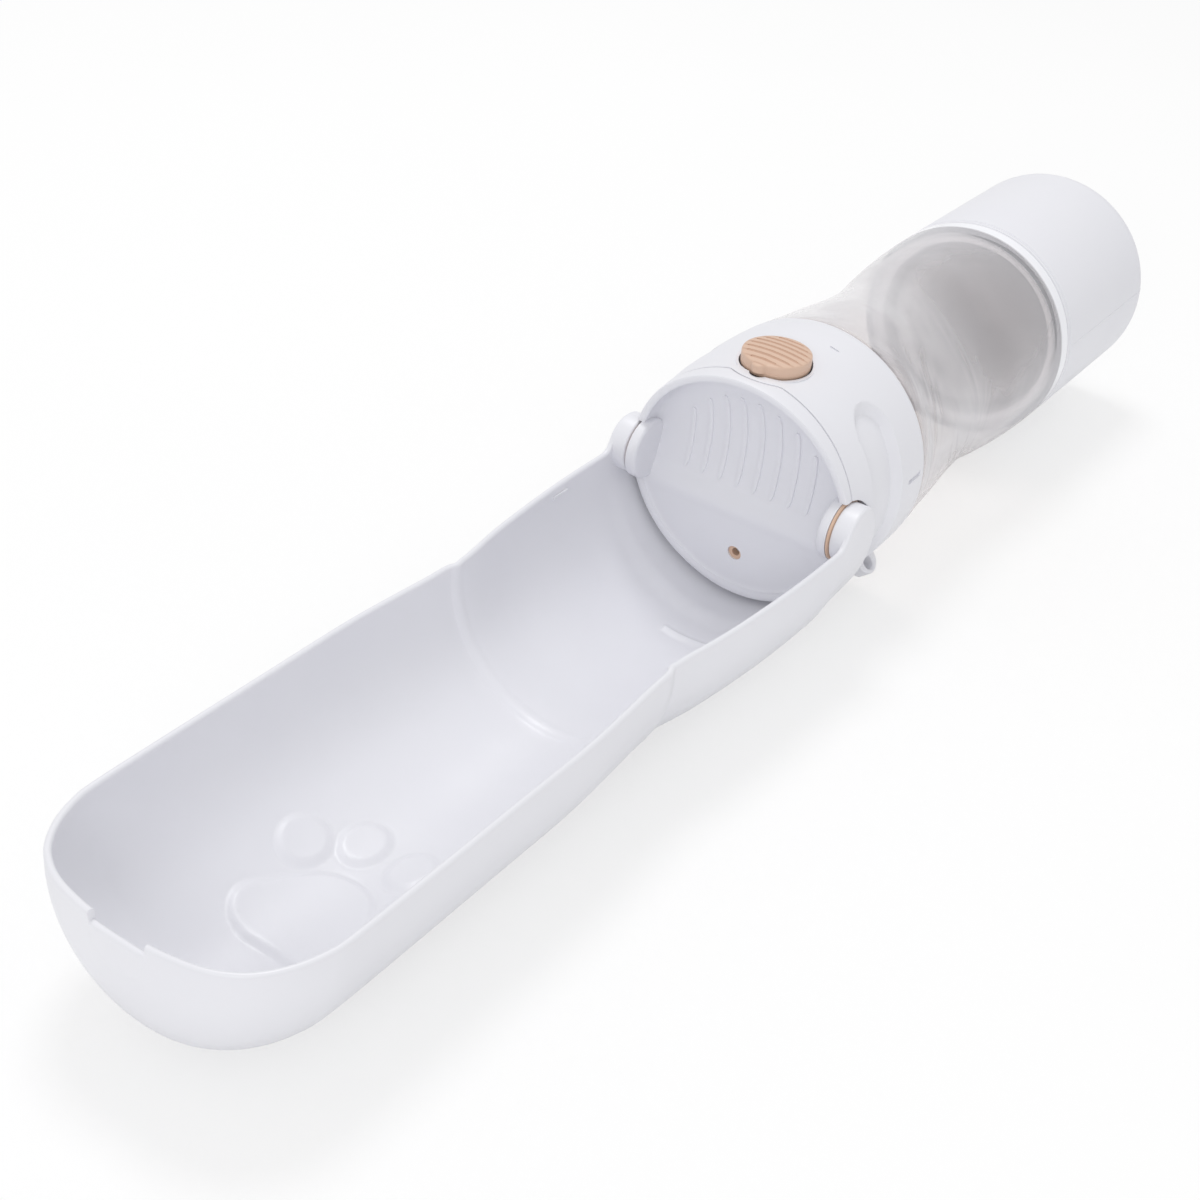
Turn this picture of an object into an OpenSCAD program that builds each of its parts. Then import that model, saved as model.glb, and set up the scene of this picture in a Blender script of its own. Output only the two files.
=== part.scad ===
// Dog travel water bottle with a fold-out drinking trough.
// Frame while drawing: origin on the trough's hinge axis, +X along the bottle to its base end,
// +Z up, trough laid open towards -X. placed() moves it all onto the reference point.

/* [Head] */
// Largest radius of the head, the master size across the whole object
head_r = 37.4; // [34:0.1:42]
// Distance from the hinge axis to the rear edge of the head
head_end = 41; // [40:0.5:44]
// How far the head's axis lies below the hinge axis
axis_drop = 1; // [0.5:0.1:1.2]
// Depth of the finger pockets on both sides of the head
pocket_deep = 1.8; // [1.2:0.1:2]
// Plan slope of the slanted front lip, in mm of X for each mm of Z
lip_slope = 0.118; // [0.05:0.001:0.13]
// Wall of the collar round the dish
collar_wall = 2.6; // [2:0.1:2.8]

/* [Bottle] */
// Place of the line where the bottle meets the food cup
cup_line = 143; // [135:0.5:150]
// Outer radius of the bottle where it meets the food cup
bottle_r = 35.4; // [35:0.1:35.5]
// Wall of the clear bottle
bottle_wall = 1.7; // [1.3:0.1:2]
// Length of the food cup
cup_len = 69.5; // [60:0.5:70]
// Radius of the food cup's rounded end edge
cup_round = 11; // [9.5:0.5:12]
// Thread pitch of both screw joints
pitch = 2; // [1.9:0.05:2.1]

/* [Trough] */
// Wall of the trough
trough_wall = 1.8; // [1.5:0.1:2.2]
// Side clearance between the folded trough and the head
fold_gap = 0.4; // [0.35:0.05:0.8]
// How far the trough reaches past the food cup's end
tip_room = 22; // [21:0.5:30]
// Depth of straight side wall above the round floor
wall_drop = 4.2; // [4:0.1:6]
// Height of the raised paw figure on the floor
paw_h = 0.9; // [0.3:0.1:1.2]

/* [Button and valve] */
// Radius of the push button
button_r = 9.8; // [9.2:0.1:9.9]
// Travel of the push button
button_travel = 3; // [2.6:0.1:3]
// How far the button stands proud of the head
button_proud = 3; // [2.9:0.1:3.1]
// Radius of the valve bore
bore_r = 4.4; // [4.2:0.1:4.6]
// Radius of the valve stem
stem_r = 2; // [1.6:0.1:2.2]

/* [Hidden] */
fine = 96;
eps = 0.01;
fit = 0.05;
far_out = 60;
seam = 0.15;

// head
head_z = -axis_drop;
skirt_r = head_r - 3.6;
seam_x = 3.4;
cavity_r = head_r - 1.3 - collar_wall;
lip_x0 = -1.1;
plate_t = 1.8;
flat_recess = 0.7;
scoop_r = 35.5;
scoop_x = -30.5;
scoop_z = 8.8;
crease_z = -8;
head_outer = [
    [-9, head_r - 2.4], [-5, head_r - 1.8], [0, head_r - 1.3], [seam_x, head_r - 1.1],
    [8, head_r - 0.6], [15, head_r - 0.1], [24, head_r], [31, head_r - 0.05],
    [head_end - 4, head_r - 0.3], [head_end - 0.6, head_r - 0.6], [head_end, head_r - 1.1]];

// hinge
ear_r = 8.5;
pin_r = 5.6;
ring_in = head_r - 4.4;
ring_t = 0.8;
ear_in = ring_in + ring_t + 0.1;
pin_end = ear_in - 2.9;
boss_r = ear_r + 0.5;
boss_in = ring_in - 3.2;
pocket_r = ear_r + 0.7;

// valve column
valve_x = 11;
top_z = head_z + head_r - 0.1;
cap_top = top_z + button_proud - 0.1;
cap_skirt = 5;
well_r = button_r + 0.5;
well_wall = 0.8;
well_floor = cap_top - cap_skirt - button_travel - 0.6;
well_plate = 1.2;
nub_r = 2.2;
nub_out = button_r - 0.7;
nub_h = 3.4;
nub_floor = cap_top - nub_h - button_travel - 0.3;
tube_r = bore_r + 2;
tube_end = head_z - skirt_r + 2.2;
plug_in = 0.9;
spool_end = tube_end + plug_in + button_travel + 0.2;
spool_top = spool_end + 18;
tube_top = spool_top + 1.5;
outlet_z = spool_end + 5.1;
outlet_r = 1.2;
inlet_z = spool_end + 10.6;
inlet_r = 1.9;
groove_top = inlet_z + 2.3;
groove_end = inlet_z - 2.3;
seal_r = 0.55;
seal_zs = [spool_end + 15.6, outlet_z + 1.9, spool_end + 1.7];
guide_r = 3.3;
cap_plate = 2;

// partition behind the dish
well_back = valve_x + well_r + well_wall;
ledge_x = well_back + 0.3 - 2;
ledge_r = skirt_r - 2.3;
gasket_t = 1;
part_x = ledge_x + 2 + gasket_t;
part_t = 2.6;
part_r = skirt_r - 0.1;
neck_seal_t = 1.6;
mouth_x = part_x + part_t + neck_seal_t;
screw_r = 1.4;
post_r = 3.2;

// bottle and threads
thread_h = 1.2;
neck_r = skirt_r - 1.6;
neck_in = neck_r - 2;
shoulder_x = head_end + 0.7;
screw_at = neck_in - 5.2;
neck_thread_x = mouth_x + 2.2;
neck_turns = 1.1;
skirt_turns = 0.9;
spigot_r = bottle_r - 3.9;
spigot_in = spigot_r - bottle_wall;
spigot_len = 12;
spigot_end = cup_line + spigot_len;
cup_end = cup_line + cup_len;
cup_r = bottle_r - 0.3;
cup_wall = 1.8;
cup_bore = spigot_r + 1.6;
spigot_turns = 0.6;
cup_turns = 0.9;
cup_ledge_x = spigot_end + 1.9;
dome_r = spigot_in - 2.2;
dome_x = spigot_end - dome_r - 0.4;
bottle_outer = [
    [shoulder_x + 0.9, head_r - 1.1], [shoulder_x + 4, head_r - 1.2], [shoulder_x + 9, head_r - 1.9],
    [62, head_r - 3], [76, head_r - 4.7], [89, head_r - 5.5], [99, head_r - 5],
    [109, head_r - 3.6], [120, head_r - 2.6], [130, bottle_r - 0.1], [cup_line - 0.6, bottle_r]];

// trough
trough_half = head_r + fold_gap + trough_wall;
trough_len = cup_end + tip_room;
rear_x = 9;
hug_drop = 2.4;
ramp_from = -5;
ramp_to = -12;
step_x = -86;
trough_plan = [
    [rear_x, 0.979], [0, 0.993], [-8, 1], [-26, 1], [-43, 0.983], [-63, 0.943], [-77, 0.893],
    [-82, 0.88], [step_x + 1.6, 0.874], [step_x - 1.2, 0.896], [-95, 0.906],
    [-108, 0.931], [-124, 0.953], [-150, 0.956], [-180, 0.959],
    [-(trough_len - 30), 0.957], [-(trough_len - 22.5), 0.936], [-(trough_len - 15.5), 0.876],
    [-(trough_len - 9.5), 0.781], [-(trough_len - 5.5), 0.668], [-(trough_len - 2.4), 0.506],
    [-(trough_len - 0.6), 0.29], [-trough_len, 0.12]];
foot_cut = 0.8;
floor_depth = wall_drop + trough_half - trough_wall;
rib_h = 0.8;
tab_z = 3.8;
tab_t = 0.9;
paw_x = -171;
notch_half = 8;
notch_deep = 2.6;

// placing: bottom centre of the whole object
lowest = -(wall_drop + trough_half - foot_cut);
mid_x = (cup_end - trough_len) / 2;

// ---- curves ----
function blend4(a, b, c, d, t) =
    0.5 * (2 * b + (c - a) * t + (2 * a - 5 * b + 4 * c - d) * t * t
        + (3 * b - a - 3 * c + d) * t * t * t);
function smooth(p, n) = concat(
    [for (i = [0 : len(p) - 2]) for (k = [0 : n - 1])
        blend4(p[max(i - 1, 0)], p[i], p[i + 1], p[min(i + 2, len(p) - 1)], k / n)],
    [p[len(p) - 1]]);
function grown(p, by) = [for (q = p) [q[0], q[1] + by]];
function back(p) = [for (i = [len(p) - 1 : -1 : 0]) p[i]];
function arc(x, r, rad, a0, a1, n) =
    [for (i = [0 : n]) let (a = a0 + (a1 - a0) * i / n) [x + rad * cos(a), r + rad * sin(a)]];

// ---- shared shapes ----
module placed() { translate([-mid_x, 0, -lowest]) children(); }
module axial(z) { translate([0, 0, z]) rotate([0, 90, 0]) children(); }

// body of revolution about an X-parallel axis at height z, from points [x, r]
module turned(p, z) {
    axial(z) rotate_extrude($fn = fine) polygon([for (q = p) [q[1], q[0]]]);
}
module solid_turned(p, z) {
    turned(concat([[p[0][0], 0]], p, [[p[len(p) - 1][0], 0]]), z);
}
module rod_x(r, x0, x1, y, z) {
    translate([x0, y, z]) rotate([0, 90, 0]) cylinder(r = r, h = x1 - x0, $fn = fine);
}
module rod_y(r, y0, y1, x, z) {
    translate([x, y0, z]) rotate([-90, 0, 0]) cylinder(r = r, h = y1 - y0, $fn = fine);
}
module rod_z(r, z0, z1, x, y) { translate([x, y, z0]) cylinder(r = r, h = z1 - z0, $fn = fine); }
module pair() { children(); mirror([0, 1, 0]) children(); }

// screw ridge on a wall: root radius, crest radius, place, turns
module ridge(root, crest, x0, turns, base_w, crest_w) {
    count = ceil(36 * turns);
    pts = [for (i = [0 : count])
        let (a = 360 * turns * i / count, x = x0 + pitch * a / 360,
            k = max(0.08, min(1, i / 3, (count - i) / 3)), c = root + (crest - root) * k)
        for (q = [[root, -base_w / 2], [c, -crest_w / 2], [c, crest_w / 2], [root, base_w / 2]])
            [x + q[1], q[0] * cos(a), q[0] * sin(a)]];
    flip = crest > root;
    sides = [for (i = [0 : count - 1]) for (j = [0 : 3])
        let (a = 4 * i + j, b = 4 * i + (j + 1) % 4, c = a + 4, d = b + 4)
        for (t = [[a, b, d], [a, d, c]]) flip ? t : [t[2], t[1], t[0]]];
    e = 4 * count;
    ends = [for (t = [[0, 2, 1], [0, 3, 2], [e, e + 1, e + 2], [e, e + 2, e + 3]])
        flip ? t : [t[2], t[1], t[0]]];
    translate([0, 0, head_z]) polyhedron(points = pts, faces = concat(sides, ends), convexity = 6);
}

// everything in front of the dish face, moved back by t
module dish_front(t) {
    difference() {
        translate([t, 0, 0]) union() {
            translate([scoop_x, -50, scoop_z]) rotate([-90, 0, 0])
                cylinder(r = scoop_r, h = 100, $fn = fine);
            translate([-60, -50, scoop_z]) cube([60 + scoop_x + 20, 100, 60]);
            below_plane(flat_recess, -60, crease_z);
        }
        translate([t, 0, 0]) intersection() {
            translate([-40, -51, -60]) cube([60, 102, 60 + crease_z]);
            beyond_plane(flat_recess);
        }
    }
}
// slab on the dish side of the lip plane, shifted by d, between two heights
module below_plane(d, z0, z1) {
    rotate([90, 0, 0]) linear_extrude(height = 100, center = true)
        polygon([[lip_x0 + d - lip_slope * z0, z0], [lip_x0 + d - lip_slope * z1, z1],
            [-60, z1], [-60, z0]]);
}
// everything behind the lip plane, shifted by d
module beyond_plane(d) {
    rotate([90, 0, 0]) linear_extrude(height = 110, center = true)
        polygon([[lip_x0 + d + lip_slope * 70, -70], [lip_x0 + d - lip_slope * 70, 70],
            [90, 70], [90, -70]]);
}

// ---- head ----
module well_space(r, z0) {
    rod_z(r, z0, far_out, valve_x, 0);
}
module ear_room() {
    pair() union() {
        rod_y(boss_r + seam, 20, ring_in + seam, 0, 0);
        rod_y(pocket_r, ring_in, far_out, 0, 0);
    }
}
// pocket for finger and thumb: a slot seen from the side, with a round floor
module finger_recess() {
    slot_r = 8;
    slot_x = 18.3;
    slot_top = 20.2;
    difference() {
        union() {
            rod_y(slot_r, 0, far_out, slot_x, slot_top);
            rod_y(slot_r, 0, far_out, slot_x, -slot_top);
            translate([slot_x - slot_r, 0, -slot_top]) cube([2 * slot_r, far_out, 2 * slot_top]);
        }
        rod_x(head_r - pocket_deep, 0, far_out, 0, head_z);
    }
}
module lug() {
    angle = 51;
    lug_x = head_end - 4.9;
    translate([lug_x, 0, head_z]) rotate([angle, 0, 0]) mirror([0, 1, 0]) difference() {
        union() {
            translate([0, head_r + 1.6, -2.4]) cylinder(r = 4.6, h = 4.8, $fn = fine);
            translate([-4.6, head_r - 2, -2.4]) cube([9.2, 3.6, 4.8]);
        }
        translate([0, head_r + 2.6, -5]) cylinder(r = 2.2, h = 10, $fn = fine);
    }
}
module head_shell() {
    color([0.91, 0.92, 0.95]) union() {
        difference() {
            union() {
                head_skin();
                intersection() {
                    solid_turned(smooth(head_outer, 4), head_z);
                    rod_z(well_r + well_wall, well_floor - well_plate, far_out, valve_x, 0);
                }
                mirror_lug();
            }
            rod_z(well_r, well_floor, far_out, valve_x, 0);
            rod_z(nub_r + 0.4, nub_floor, far_out, valve_x - nub_out, 0);
            rod_z(guide_r + fit, 10, far_out, valve_x, 0);
            ear_room();
            pair() finger_recess();
            pair() translate([30.5, head_r - 1.1, tab_z - 0.2]) cube([7.6, 4, tab_t + 0.4]);
            translate([28.5, 0, head_z]) rotate([13, 0, 0]) translate([0, -1.4, head_r - 0.5])
                cube([0.7, 2.8, 2]);
        }
        ridge(skirt_r + 0.5, skirt_r - thread_h, neck_thread_x + pitch / 2, skirt_turns, 1.3, 0.6);
    }
}
module mirror_lug() {
    difference() {
        lug();
        rod_x(skirt_r + 1, 20, far_out, 0, head_z);
    }
}
module head_skin() {
    difference() {
        intersection() {
            solid_turned(smooth(head_outer, 4), head_z);
            union() {
                translate([seam_x, -60, -60]) cube([80, 120, 120]);
                rod_z(well_r + well_wall + 1.4, 20, far_out, valve_x, 0);
            }
        }
        difference() {
            rod_x(skirt_r, -20, head_end + 5, 0, head_z);
            difference() {
                rod_x(skirt_r + 0.5, ledge_x, ledge_x + 2, 0, head_z);
                rod_x(ledge_r, ledge_x - 1, ledge_x + 3, 0, head_z);
            }
        }
    }
}
module dish_ribs() {
    spacing = 5.7;
    half_w = 1;
    rise = 0.5;
    for (i = [0 : 7]) {
        y = (i - 3.5) * spacing;
        z1 = 27.5 - 0.029 * y * y;
        z0 = -2.5;
        intersection() {
            difference() {
                rod_y(scoop_r + 0.3, -40, 40, scoop_x, scoop_z);
                rod_y(scoop_r - rise, -41, 41, scoop_x, scoop_z);
            }
            union() {
                translate([-10, y - half_w, z0 + half_w]) cube([30, 2 * half_w, z1 - z0 - 2 * half_w]);
                rod_x(half_w, -10, 20, y, z0 + half_w);
                rod_x(half_w, -10, 20, y, z1 - half_w);
            }
        }
    }
}
module front_bowl() {
    tongue = 5;
    color([0.91, 0.92, 0.95]) difference() {
        union() {
            intersection() {
                difference() {
                    solid_turned(smooth(head_outer, 4), head_z);
                    rod_x(cavity_r, -20, 20, 0, head_z);
                    translate([seam_x - seam, -60, -60]) cube([80, 120, 120]);
                }
                beyond_plane(0);
            }
            intersection() {
                rod_x(skirt_r - seam, -12, 9, 0, head_z);
                difference() {
                    beyond_plane(0);
                    dish_front(0);
                    difference() {
                        dish_back();
                        intersection() {
                            rod_x(60, -20, seam_x + tongue, 0, head_z);
                            difference() {
                                rod_x(skirt_r, -20, 20, 0, head_z);
                                rod_x(cavity_r, -20, 20, 0, head_z);
                            }
                        }
                    }
                }
            }
            dish_ribs();
            pair() rod_y(boss_r, boss_in, ring_in, 0, 0);
            for (y = [-1, 1], z = [-1, 1])
                rod_x(post_r, 2.5, part_x - seam, y * screw_at * sin(45), z * screw_at * sin(45));
        }
        post_holes();
        pair() rod_y(pin_r + fit, pin_end - 0.4, far_out, 0, 0);
        pair() rod_y(pocket_r, ring_in, far_out, 0, 0);
        well_space(well_r + well_wall + 1.4 + seam, 29);
        rod_x(outlet_r + 0.6, -5, 15, 0, outlet_z);
        rod_x(3.4 + fit, 3.1, 15, 0, outlet_z);
    }
}
module post_holes() {
    for (y = [-1, 1], z = [-1, 1])
        rod_x(screw_r, part_x - 9, part_x + 1, y * screw_at * sin(45), z * screw_at * sin(45));
}
// everything behind the dish plate
module dish_back() {
    difference() {
        translate([-12, -50, -50]) cube([60, 100, 100]);
        dish_front(plate_t);
    }
}

// ---- valve ----
module valve_housing() {
    color([0.88, 0.89, 0.9]) difference() {
        union() {
            rod_x(part_r, part_x, part_x + part_t, 0, head_z);
            rod_z(tube_r, tube_end, tube_top, valve_x, 0);
            translate([valve_x, -tube_r + 1, inlet_z - 5]) cube([part_x - valve_x, 2 * tube_r - 2, 10]);
            intersection() {
                translate([2, -4.6, outlet_z - 4.4]) cube([8, 9.2, 8.8]);
                plate_clear();
            }
        }
        difference() {
            translate([-10, -20, -40]) cube([20, 40, 50]);
            plate_clear();
        }
        rod_z(bore_r, -40, 0, valve_x, 0);
        rod_x(inlet_r, valve_x, 40, 0, inlet_z);
        rod_x(outlet_r, 0, valve_x, 0, outlet_z);
        rod_x(3.4 + fit, 0, 5.6, 0, outlet_z);
        for (y = [-1, 1], z = [-1, 1])
            rod_x(screw_r + 0.2, 10, 40, y * screw_at * sin(45), z * screw_at * sin(45));
        rod_x(1.2, 10, 40, 0, 20);
    }
}
// room behind the dish plate, with clearance
module plate_clear() {
    beyond_plane(flat_recess + plate_t + 0.25);
}
module housing_gasket() {
    color([0.88, 0.77, 0.7]) difference() {
        rod_x(skirt_r - 0.2, ledge_x + 2 + eps, part_x - eps, 0, head_z);
        rod_x(ledge_r + 0.2, 0, far_out, 0, head_z);
    }
}
module housing_screws() {
    color([0.75, 0.76, 0.78])
        for (y = [-1, 1], z = [-1, 1]) {
            yy = y * screw_at * sin(45);
            zz = z * screw_at * sin(45);
            difference() {
                union() {
                    rod_x(screw_r - fit, part_x - 8, part_x + part_t + 0.5, yy, zz);
                    rod_x(2.6, part_x + part_t + eps, part_x + part_t + 1.4, yy, zz);
                }
                translate([part_x + part_t + 0.7, yy - 1.8, zz - 0.35]) cube([2, 3.6, 0.7]);
                translate([part_x + part_t + 0.7, yy - 0.35, zz - 1.8]) cube([2, 0.7, 3.6]);
            }
        }
}
module housing_plug() {
    color([0.88, 0.89, 0.9]) intersection() {
        union() {
            rod_z(bore_r - fit, tube_end - 0.2, tube_end + plug_in, valve_x, 0);
            rod_z(tube_r - 1, tube_end - 0.8, tube_end - eps, valve_x, 0);
        }
        plate_clear();
    }
}
module outlet_seal() {
    color([0.88, 0.77, 0.7]) difference() {
        rod_x(3.4, 3.2, 5.5, 0, outlet_z);
        rod_x(outlet_r, 0, 10, 0, outlet_z);
    }
}
module vent_valve() {
    at = part_x + part_t;
    color([0.88, 0.77, 0.7]) union() {
        rod_x(1.1, part_x - 1, at + 0.5, 0, 20);
        rod_x(1.9, part_x - 1.6, part_x - 0.1, 0, 20);
        rod_x(4, at + 0.1, at + 0.8, 0, 20);
    }
}
module stem_guide() {
    color([0.88, 0.77, 0.7]) difference() {
        union() {
            rod_z(guide_r, well_floor - well_plate - 1, well_floor + 0.6, valve_x, 0);
            rod_z(guide_r + 1.3, well_floor - well_plate - 1, well_floor - well_plate - eps, valve_x, 0);
        }
        rod_z(stem_r + fit, 0, far_out, valve_x, 0);
    }
}
module button_cap() {
    round_r = 0.8;
    color([0.88, 0.77, 0.7]) difference() {
        union() {
            translate([valve_x, 0, 0]) rotate_extrude($fn = fine)
                polygon(concat([[0, cap_top - cap_skirt], [button_r, cap_top - cap_skirt]],
                    arc(button_r - round_r, cap_top - round_r, round_r, 0, 90, 5), [[0, cap_top]]));
            translate([valve_x - nub_out, 0, 0]) rotate_extrude($fn = fine)
                polygon(concat([[0, cap_top - nub_h], [nub_r, cap_top - nub_h]],
                    arc(nub_r - round_r, cap_top - 0.2 - round_r, round_r, 0, 90, 5),
                    [[0, cap_top - 0.2]]));
        }
        difference() {
            rod_z(button_r - 1.5, cap_top - cap_skirt - 1, cap_top - cap_plate, valve_x, 0);
            rod_z(stem_r + 1.1, cap_top - cap_skirt + 0.2, cap_top, valve_x, 0);
        }
        rod_z(stem_r + 0.02, cap_top - cap_skirt - 1, cap_top - 1.4, valve_x, 0);
        for (i = [-3 : 3])
            intersection() {
                rod_z(button_r - 1.2, cap_top - 0.5, cap_top + 1, valve_x, 0);
                translate([valve_x + 2.5 * i - 0.4, -20, cap_top - 0.5]) cube([0.8, 40, 2]);
            }
    }
}
module valve_stem() {
    color([0.9, 0.9, 0.92]) difference() {
        rod_z(stem_r, spool_top - 2, cap_top - 1.6, valve_x, 0);
        difference() {
            rod_z(stem_r + 1, clip_z - 0.55, clip_z + 0.55, valve_x, 0);
            rod_z(stem_r - 0.5, clip_z - 2, clip_z + 2, valve_x, 0);
        }
    }
}
clip_z = well_floor - well_plate - 1.9;
module stem_clip() {
    color([0.75, 0.76, 0.78]) difference() {
        rod_z(stem_r + 1.7, clip_z - 0.4, clip_z + 0.4, valve_x, 0);
        rod_z(stem_r - 0.45, clip_z - 2, clip_z + 2, valve_x, 0);
        translate([valve_x, -1.2, clip_z - 2]) cube([9, 2.4, 4]);
    }
}
module valve_spool() {
    color([0.9, 0.9, 0.92]) difference() {
        rod_z(bore_r - 0.1, spool_end, spool_top, valve_x, 0);
        rod_z(stem_r + 0.02, spool_top - 2.05, 0, valve_x, 0);
        difference() {
            rod_z(bore_r + 1, groove_end, groove_top, valve_x, 0);
            rod_z(2.4, -40, 0, valve_x, 0);
        }
        for (z = seal_zs)
            difference() {
                rod_z(bore_r + 1, z - seal_r - 0.05, z + seal_r + 0.05, valve_x, 0);
                rod_z(bore_r - 2 * seal_r - 0.1, -40, 0, valve_x, 0);
            }
    }
}
module spool_seals() {
    color([0.88, 0.77, 0.7])
        for (z = seal_zs)
            translate([valve_x, 0, z]) rotate_extrude($fn = fine)
                translate([bore_r - seal_r - 0.04, 0]) circle(r = seal_r, $fn = 24);
}
module return_spring() {
    turns = 3.5;
    wire = 0.45;
    coil_r = 5.4;
    low = well_floor + wire + 0.02;
    high = cap_top - cap_plate - wire - 0.02;
    count = 70;
    sides = 8;
    pts = [for (i = [0 : count]) let (a = 360 * turns * i / count, z = low + (high - low) * i / count)
        for (j = [0 : sides - 1]) let (b = 360 * j / sides, r = coil_r + wire * cos(b))
            [r * cos(a), r * sin(a), z + wire * sin(b)]];
    skin = [for (i = [0 : count - 1]) for (j = [0 : sides - 1])
        let (a = sides * i + j, b = sides * i + (j + 1) % sides)
        for (t = [[a, a + sides, b + sides], [a, b + sides, b]]) t];
    first = [for (j = [1 : sides - 2]) [0, j, j + 1]];
    last = [for (j = [1 : sides - 2]) [sides * count, sides * count + j + 1, sides * count + j]];
    color([0.75, 0.76, 0.78]) translate([valve_x, 0, 0])
        polyhedron(points = pts, faces = concat(skin, first, last), convexity = 8);
}

// ---- hinge rings ----
module pivot_ring_near() { mirror([0, 1, 0]) pivot_ring(); }
module pivot_ring_far() { pivot_ring(); }
module pivot_ring() {
    color([0.88, 0.77, 0.7]) difference() {
        rod_y(ear_r + 0.35, ring_in + 0.02, ring_in + ring_t, 0, 0);
        rod_y(pin_r + 0.1, 0, far_out, 0, 0);
    }
}
module neck_gasket() {
    color([0.88, 0.77, 0.7]) difference() {
        rod_x(skirt_r - 0.4, part_x + part_t + 0.02, mouth_x - 0.02, 0, head_z);
        rod_x(neck_in - 0.7, 0, far_out, 0, head_z);
    }
}

// ---- trough ----
function plan_pts(by) = [for (q = smooth(trough_plan, 2)) [q[0], q[1] * trough_half - by]];
function ramp(x) = (wall_drop - hug_drop) * max(0, min(1, (x - ramp_to) / (ramp_from - ramp_to)));
module lower_half(p, z) {
    intersection() {
        solid_turned(back(p), z);
        translate([-400, -60, z - 60]) cube([600, 120, 60 + eps]);
    }
}
module trough_form(by, rear, top) {
    p = [for (q = plan_pts(by)) if (q[1] > 0.5) [q[0] + (q[0] < -200 ? by : 0), q[1]]];
    q = concat([[rear, p[0][1]]], p);
    low = [for (s = q) [s[0], s[1] - ramp(s[0])]];
    union() {
        lower_half(q, -hug_drop);
        lower_half(low, -wall_drop);
        translate([0, 0, -hug_drop]) linear_extrude(height = hug_drop + top)
            polygon(concat(q, [for (s = back(q)) [s[0], -s[1]]]));
        intersection() {
            translate([0, 0, -wall_drop]) linear_extrude(height = wall_drop + top)
                polygon(concat(q, [for (s = back(q)) [s[0], -s[1]]]));
            translate([-400, -60, -60]) cube([400 + ramp_from - 3, 120, 120]);
        }
    }
}
module paw_plan() {
    translate([paw_x, 1]) circle(r = 12, $fn = fine);
    for (s = [-1, 1]) {
        translate([paw_x - 5.3, 1 + 4.6 * s]) circle(r = 10.6, $fn = fine);
        translate([paw_x - 10.7, 1 + 8.9 * s]) circle(r = 8.9, $fn = fine);
    }
    translate([paw_x - 19, -7]) square([12, 16]);
    for (t = [[10.7, 17.6], [22.4, 8.1], [22.4, -6.1], [10.7, -15.6]], s = [-1, 1])
        translate([paw_x + t[0] + 2.1 * s, t[1]]) circle(r = 5.7, $fn = fine);
}
module trough() {
    clip_in = head_r - 0.45;
    color([0.91, 0.92, 0.95]) difference() {
        union() {
            difference() {
                trough_form(0, rear_x, 0);
                trough_form(trough_wall, rear_x + 5, 5);
            }
            intersection() {
                trough_form(trough_wall - 0.3, rear_x, 0);
                union() {
                    translate([-17.4, -7.5, -60]) cube([1.3, 15, 60 - floor_depth + rib_h]);
                    difference() {
                        translate([0, 0, -60]) linear_extrude(height = 50) paw_plan();
                        trough_form(trough_wall + paw_h, rear_x + 5, 5);
                    }
                    pair() intersection() {
                        translate([-37.4, clip_in, -tab_z - tab_t]) cube([6.6, 5, tab_t]);
                        trough_form(0.5, rear_x, 0);
                    }
                }
            }
            pair() rod_y(ear_r, ear_in, trough_half * 0.993, 0, 0);
            pair() rod_y(pin_r, pin_end, ear_in + 1, 0, 0);
        }
        pair() rod_y(3.2, pin_end - 1, ear_in + 2.6, 0, 0);
        translate([-400, -30, lowest - 20]) cube([420, 60, 20]);
        translate([-400, -notch_half, -notch_deep]) cube([400 - trough_len + 14, 2 * notch_half, 10]);
    }
}

// ---- bottle ----
module bottle() {
    outer = smooth(bottle_outer, 4);
    skin = concat(
        [[mouth_x, neck_in], [mouth_x, neck_r], [shoulder_x, neck_r], [shoulder_x, head_r - 1.7]],
        outer,
        [[cup_line, bottle_r - 0.5], [cup_line, spigot_r], [spigot_end, spigot_r]],
        [[spigot_end, dome_r - 1]],
        [for (i = [0 : 14]) let (a = 88 - 88 * i / 14)
            [dome_x + dome_r * (1 - cos(a)), dome_r * sin(a)]],
        [for (i = [0 : 14]) let (a = 84 * i / 14)
            [dome_x - bottle_wall + (dome_r + bottle_wall) * (1 - cos(a)),
                (dome_r + bottle_wall) * sin(a)]],
        [[spigot_end - 6, spigot_in], [cup_line - 3, spigot_in]],
        back([for (q = outer) if (q[0] > shoulder_x + 3 && q[0] < cup_line - 5)
            [q[0], q[1] - bottle_wall]]),
        [[shoulder_x + 2, neck_in]]);
    color([0.86, 0.9, 0.92, 0.5]) union() {
        turned(skin, head_z);
        ridge(neck_r - 0.4, neck_r + thread_h, neck_thread_x, neck_turns, 1.3, 0.6);
        ridge(spigot_r - 0.4, spigot_r + thread_h - 0.1, spigot_end - 4, spigot_turns, 1.3, 0.6);
    }
}
module cup_gasket() {
    color([0.88, 0.77, 0.7]) difference() {
        rod_x(cup_bore - thread_h - 0.2, spigot_end + 0.02, cup_ledge_x - 0.02, 0, head_z);
        rod_x(spigot_in - 0.8, 0, 300, 0, head_z);
    }
}
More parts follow.
